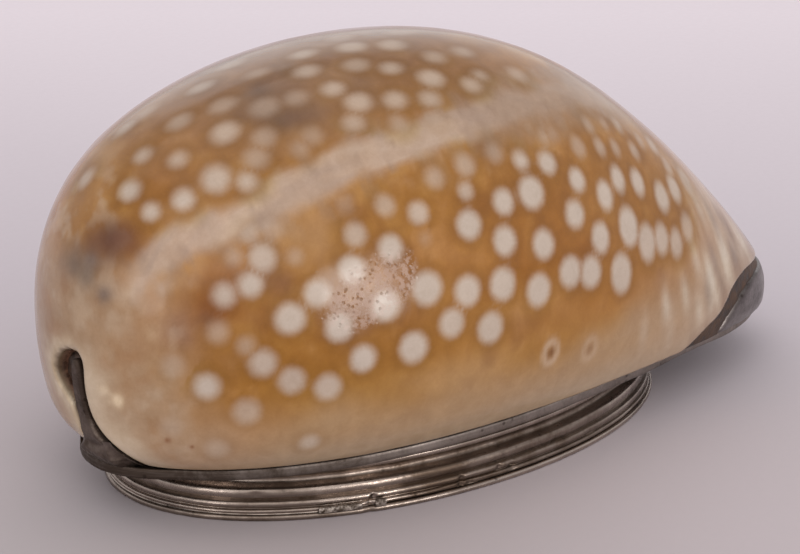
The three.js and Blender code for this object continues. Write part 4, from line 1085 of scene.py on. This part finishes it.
RIM = [(1.6, 0.0), (0.9, 0.0), (0.30, 0.005), (0.14, 0.035), (0.05, 0.09), (0.01, 0.18), (0.0, 0.30), (0.015, 0.42), (0.06, 0.51), (0.15, 0.57), (0.28, 0.60), (0.9, 0.60), (1.6, 0.60)]
v, f, tt, ii, zz = sweep(RIM, mts, shape=ledge)
d = wrap(tt)
cav = 0.40 * sstep(0.25, 0.7, ii) * sstep(0.3, 0.5, zz) - 0.28 * sstep(0.3, 0.0, ii) * sstep(-30, -24, d) * sstep(75, 55, d) + 0.15 * sstep(-40, -60, d) * sstep(-160, -130, d)
# painted shade: the lid's edge is darkened from -52 to -12 degrees to dim the front light's reflection on it
cav = np.clip(cav + 0.38 * sstep(-62, -52, wrap(tt)) * sstep(0, -12, wrap(tt)), -0.3, 1)
ob = make("lid_lip", v, f, "lid", ["lid_rim"], dict(cav=cav), sharp=50)
ob.data.materials.append(SILVER_M)

v, f, tt, ii, zz = sweep([(3.87, 0.56), (3.85, 0.62), (3.85, 2.10), (3.88, 2.24), (3.97, 2.30), (4.28, 2.30), (4.37, 2.25), (4.4, 2.12), (4.4, 0.62), (4.38, 0.56)], ts,
                         shape=lambda t, i, z: (i + 0.01 * fbm(np.stack([t * 14, z * 0.8, i * 0], -1), 2, 113), z))
ob = make("lid_flange_band", v, f, "lid", ["lid_flange"], dict(cav=0.15 * np.ones(len(v))), sharp=45)
ob.data.materials.append(LID_M)

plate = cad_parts["lid_plate"]
plate.data.materials.clear()
plate.data.materials.append(LID_M)


# ---------------------------------------------------------------- hinge
def knuckle_mesh(i, web):
    pitch = (HINGE_L + 0.1) / 5
    x0 = hx0 + i * pitch
    x1 = x0 + pitch - 0.1
    body = tube(x0, x1, HINGE_Y, HINGE_Z, [(x0, 0.48), (x0, 0.80), (x0 + 0.03, 0.87), (x0 + 0.10, 0.90), (x1 - 0.10, 0.90), (x1 - 0.03, 0.87), (x1, 0.80), (x1, 0.48)])
    return joined([body, soft_box(x0 + 0.005, x1 - 0.005, *web, 0.04)])


box_web = (HINGE_Y - 0.5, HINGE_Y + 0.5, HINGE_Z + 0.7, HINGE_Z + 1.34)
lid_web = (HINGE_Y - 1.48, HINGE_Y - 0.5, 0.14, 0.58)
for k, (i, web, body, node) in enumerate(((0, box_web, "box", "hinge_knuckle_box_1"), (2, box_web, "box", "hinge_knuckle_box_2"), (4, box_web, "box", "hinge_knuckle_box_3"),
                                          (1, lid_web, "lid", "hinge_knuckle_lid_1"), (3, lid_web, "lid", "hinge_knuckle_lid_2"))):
    v, f = knuckle_mesh(i, web)
    ob = make("knuckle_%s_%d" % (body, k + 1), v, f, body, [node], sharp=40)
    ob.data.materials.append(SILVER_M)
v, f = tube(hx0, hx1, HINGE_Y, HINGE_Z, [(hx0 - 0.1, 0.0005), (hx0 - 0.1, 0.28), (hx0 - 0.06, 0.36), (hx0, 0.39), (hx1, 0.39), (hx1 + 0.06, 0.36), (hx1 + 0.1, 0.28), (hx1 + 0.1, 0.0005)], 32)
ob = make("hinge_pin_wire", v, f, "lid", ["hinge_pin"], sharp=40)
ob.data.materials.append(LID_M)
ly0 = HINGE_Y - 1.68
v, f = joined([soft_box(hx0, hx1, ly0, ly0 + 0.62, HINGE_Z - 0.2, HINGE_Z + 2.0, 0.05), soft_box(hx0, hx1, ly0, HINGE_Y + 0.52, HINGE_Z + 1.36, HINGE_Z + 2.36, 0.10)])
ob = make("hinge_leaf_upper", v, f, "box", ["hinge_leaf_box"], dict(cav=0.1 * np.ones(len(v))), sharp=30)
ob.data.materials.append(SILVER_M)
v, f = soft_box(hx0, hx1, HINGE_Y - 2.58, HINGE_Y - 1.5, 0.02, 0.58, 0.05)
ob = make("hinge_leaf_lower", v, f, "lid", ["hinge_leaf_lid"], sharp=30)
ob.data.materials.append(SILVER_M)


# ---------------------------------------------------------------- worn thumbpiece
def rough_stub(amount, seed):
    def shape(t, i, z):
        p = np.stack([t * 30 / 0.35, z / 0.35, i / 0.35], -1)
        w = amount * fbm(p, 3, seed)
        top = sstep(LID_T + 0.05, LID_T + 0.3, z)
        return np.clip(i + w, -0.17, 0.3), z + top * (w * 0.8 - 0.03)
    return shape


def stub_section(points, n=4):
    out = []
    for k in range(len(points)):
        a, b = np.array(points[k]), np.array(points[(k + 1) % len(points)])
        out += [tuple(a + (b - a) * s / n) for s in range(n)]
    return out


v, f, tt, ii, zz = sweep(stub_section([(0.17, LID_T + 0.02), (-0.12, LID_T + 0.02), (-0.15, 0.95), (-0.02, 1.18), (0.17, 1.20)]),
                         np.radians(np.linspace(-38.5, -29.8, 44)), closed=False, shape=rough_stub(0.10, 121))
ob = make("thumbpiece_left", v, f, "lid", ["thumbpiece_stub_left"])
ob.data.materials.append(SOLDER_M)
v, f, tt, ii, zz = sweep(stub_section([(0.17, LID_T + 0.02), (-0.13, LID_T + 0.02), (-0.13, 1.14), (0.0, 1.27), (0.17, 1.28)]),
                         np.radians(np.linspace(-27.2, -25.0, 14)), closed=False, shape=rough_stub(0.04, 123))
ob = make("thumbpiece_right", v, f, "lid", ["thumbpiece_stub_right"], sharp=50)
ob.data.materials.append(SOLDER_M)

# ---------------------------------------------------------------- table
n = 40
g = np.linspace(-1400, 1400, n + 1)
X, Y = np.meshgrid(g, g, indexing="ij")
v = np.stack([X, Y, 0 * X], -1).reshape(-1, 3)
idx = np.arange((n + 1) ** 2).reshape(n + 1, n + 1)
f = np.stack([idx[:-1, :-1], idx[1:, :-1], idx[1:, 1:], idx[:-1, 1:]], -1).reshape(-1, 4).tolist()
floor = make("floor", v, f, None, shift=False)
fm = Nodes("floor_card")
along = fm.t.nodes.new("ShaderNodeVectorMath")
along.operation = "DOT_PRODUCT"
fm.link(fm.tc.outputs["Object"], along.inputs[0])
along.inputs[1].default_value = (0.616, 0.788, 0)
# painted light falloff: the floor colour is lighter toward the back and darker toward the front
fade = fm.ramp(along.outputs["Value"], -0.045, 0.03, smooth=False)
fcol = fm.mix(fade, (0.46, 0.415, 0.42), (0.575, 0.522, 0.556))
fcol = fm.mix(fm.ramp(along.outputs["Value"], 0.03, 0.15, smooth=False), fcol, (0.780, 0.708, 0.748))
# painted pool of light on the floor near the front right of the object
painted_light_pool = fm.t.nodes.new("ShaderNodeVectorMath")
painted_light_pool.operation = "DISTANCE"
fm.link(fm.tc.outputs["Object"], painted_light_pool.inputs[0])
painted_light_pool.inputs[1].default_value = (0.012, -0.052, 0)
fcol = fm.mix(fm.ramp(painted_light_pool.outputs["Value"], 0.05, 0.0, 0.0, 0.5), fcol, (0.60, 0.53, 0.555))
fcol = fm.mix(fm.ramp(fm.noise(1100, 3, 0.6), 0.3, 0.7, 0, 0.04), fcol, (0.4, 0.36, 0.38))
fm.set(Base_Color=fcol, Roughness=0.8, Metallic=0.0, Specular_IOR_Level=0.15, Normal=fm.bump(fm.noise(2500, 3, 0.5), 0.05, 0.0001))
floor.data.materials.append(fm.mat)


# ---------------------------------------------------------------- light
def softbox(name, place, aim, w, h, power, colour=(1, 0.965, 0.94), spread=180, shape="RECTANGLE"):
    li = bpy.data.lights.new(name, "AREA")
    li.shape, li.size, li.size_y, li.energy, li.color = shape, w, h, power, colour
    li.spread = math.radians(spread)
    ob = bpy.data.objects.new(name, li)
    bpy.context.scene.collection.objects.link(ob)
    ob.location = place
    ob.rotation_euler = (Vector(aim) - Vector(place)).to_track_quat("-Z", "Y").to_euler()
    return ob


softbox("front_softbox", (0.090, -0.95, 0.15), (0, -0.01, 0.02), 0.34, 0.26, 2.5)
softbox("left_softbox", (-0.856, -0.363, 0.13), (0, 0, 0.01), 0.34, 0.30, 0.72, shape="ELLIPSE")
softbox("high_left_softbox", (-0.62, -0.80, 0.75), (0, 0, 0.015), 1.1, 1.1, 3.0)
softbox("top_softbox", (0.0, 0.20, 1.1), (0, 0, 0), 1.2, 1.2, 2.6)
softbox("back_softbox", (0.85, 0.85, 0.45), (0, 0, 0.02), 1.5, 0.8, 1.6, (0.97, 0.98, 1.0))

world = bpy.data.worlds.new("studio")
bpy.context.scene.world = world
world.use_nodes = True
world.node_tree.nodes["Background"].inputs["Color"].default_value = (0.80, 0.78, 0.80, 1)
world.node_tree.nodes["Background"].inputs["Strength"].default_value = 0.85

# ---------------------------------------------------------------- camera
az, el, ro = math.radians(-38.0), math.radians(20.305), math.radians(0.053)
back = Vector((math.sin(az) * math.cos(el), -math.cos(az) * math.cos(el), math.sin(el)))
right = Vector((math.cos(az), math.sin(az), 0))
up = back.cross(right)
r2 = right * math.cos(ro) + up * math.sin(ro)
u2 = up * math.cos(ro) - right * math.sin(ro)
cam = bpy.data.cameras.new("camera")
cam.sensor_fit, cam.sensor_width, cam.lens = "HORIZONTAL", 36.0, 135.554
cam.clip_start, cam.clip_end = 0.01, 20
cob = bpy.data.objects.new("camera", cam)
bpy.context.scene.collection.objects.link(cob)
place = Vector((-2.853, -2.246, 15.038)) * 0.001 + back * 0.300
m = Matrix((r2, u2, back)).transposed().to_4x4()
m.translation = place
cob.matrix_world = m
bpy.context.scene.camera = cob
bpy.context.scene.view_settings.view_transform = "Standard"
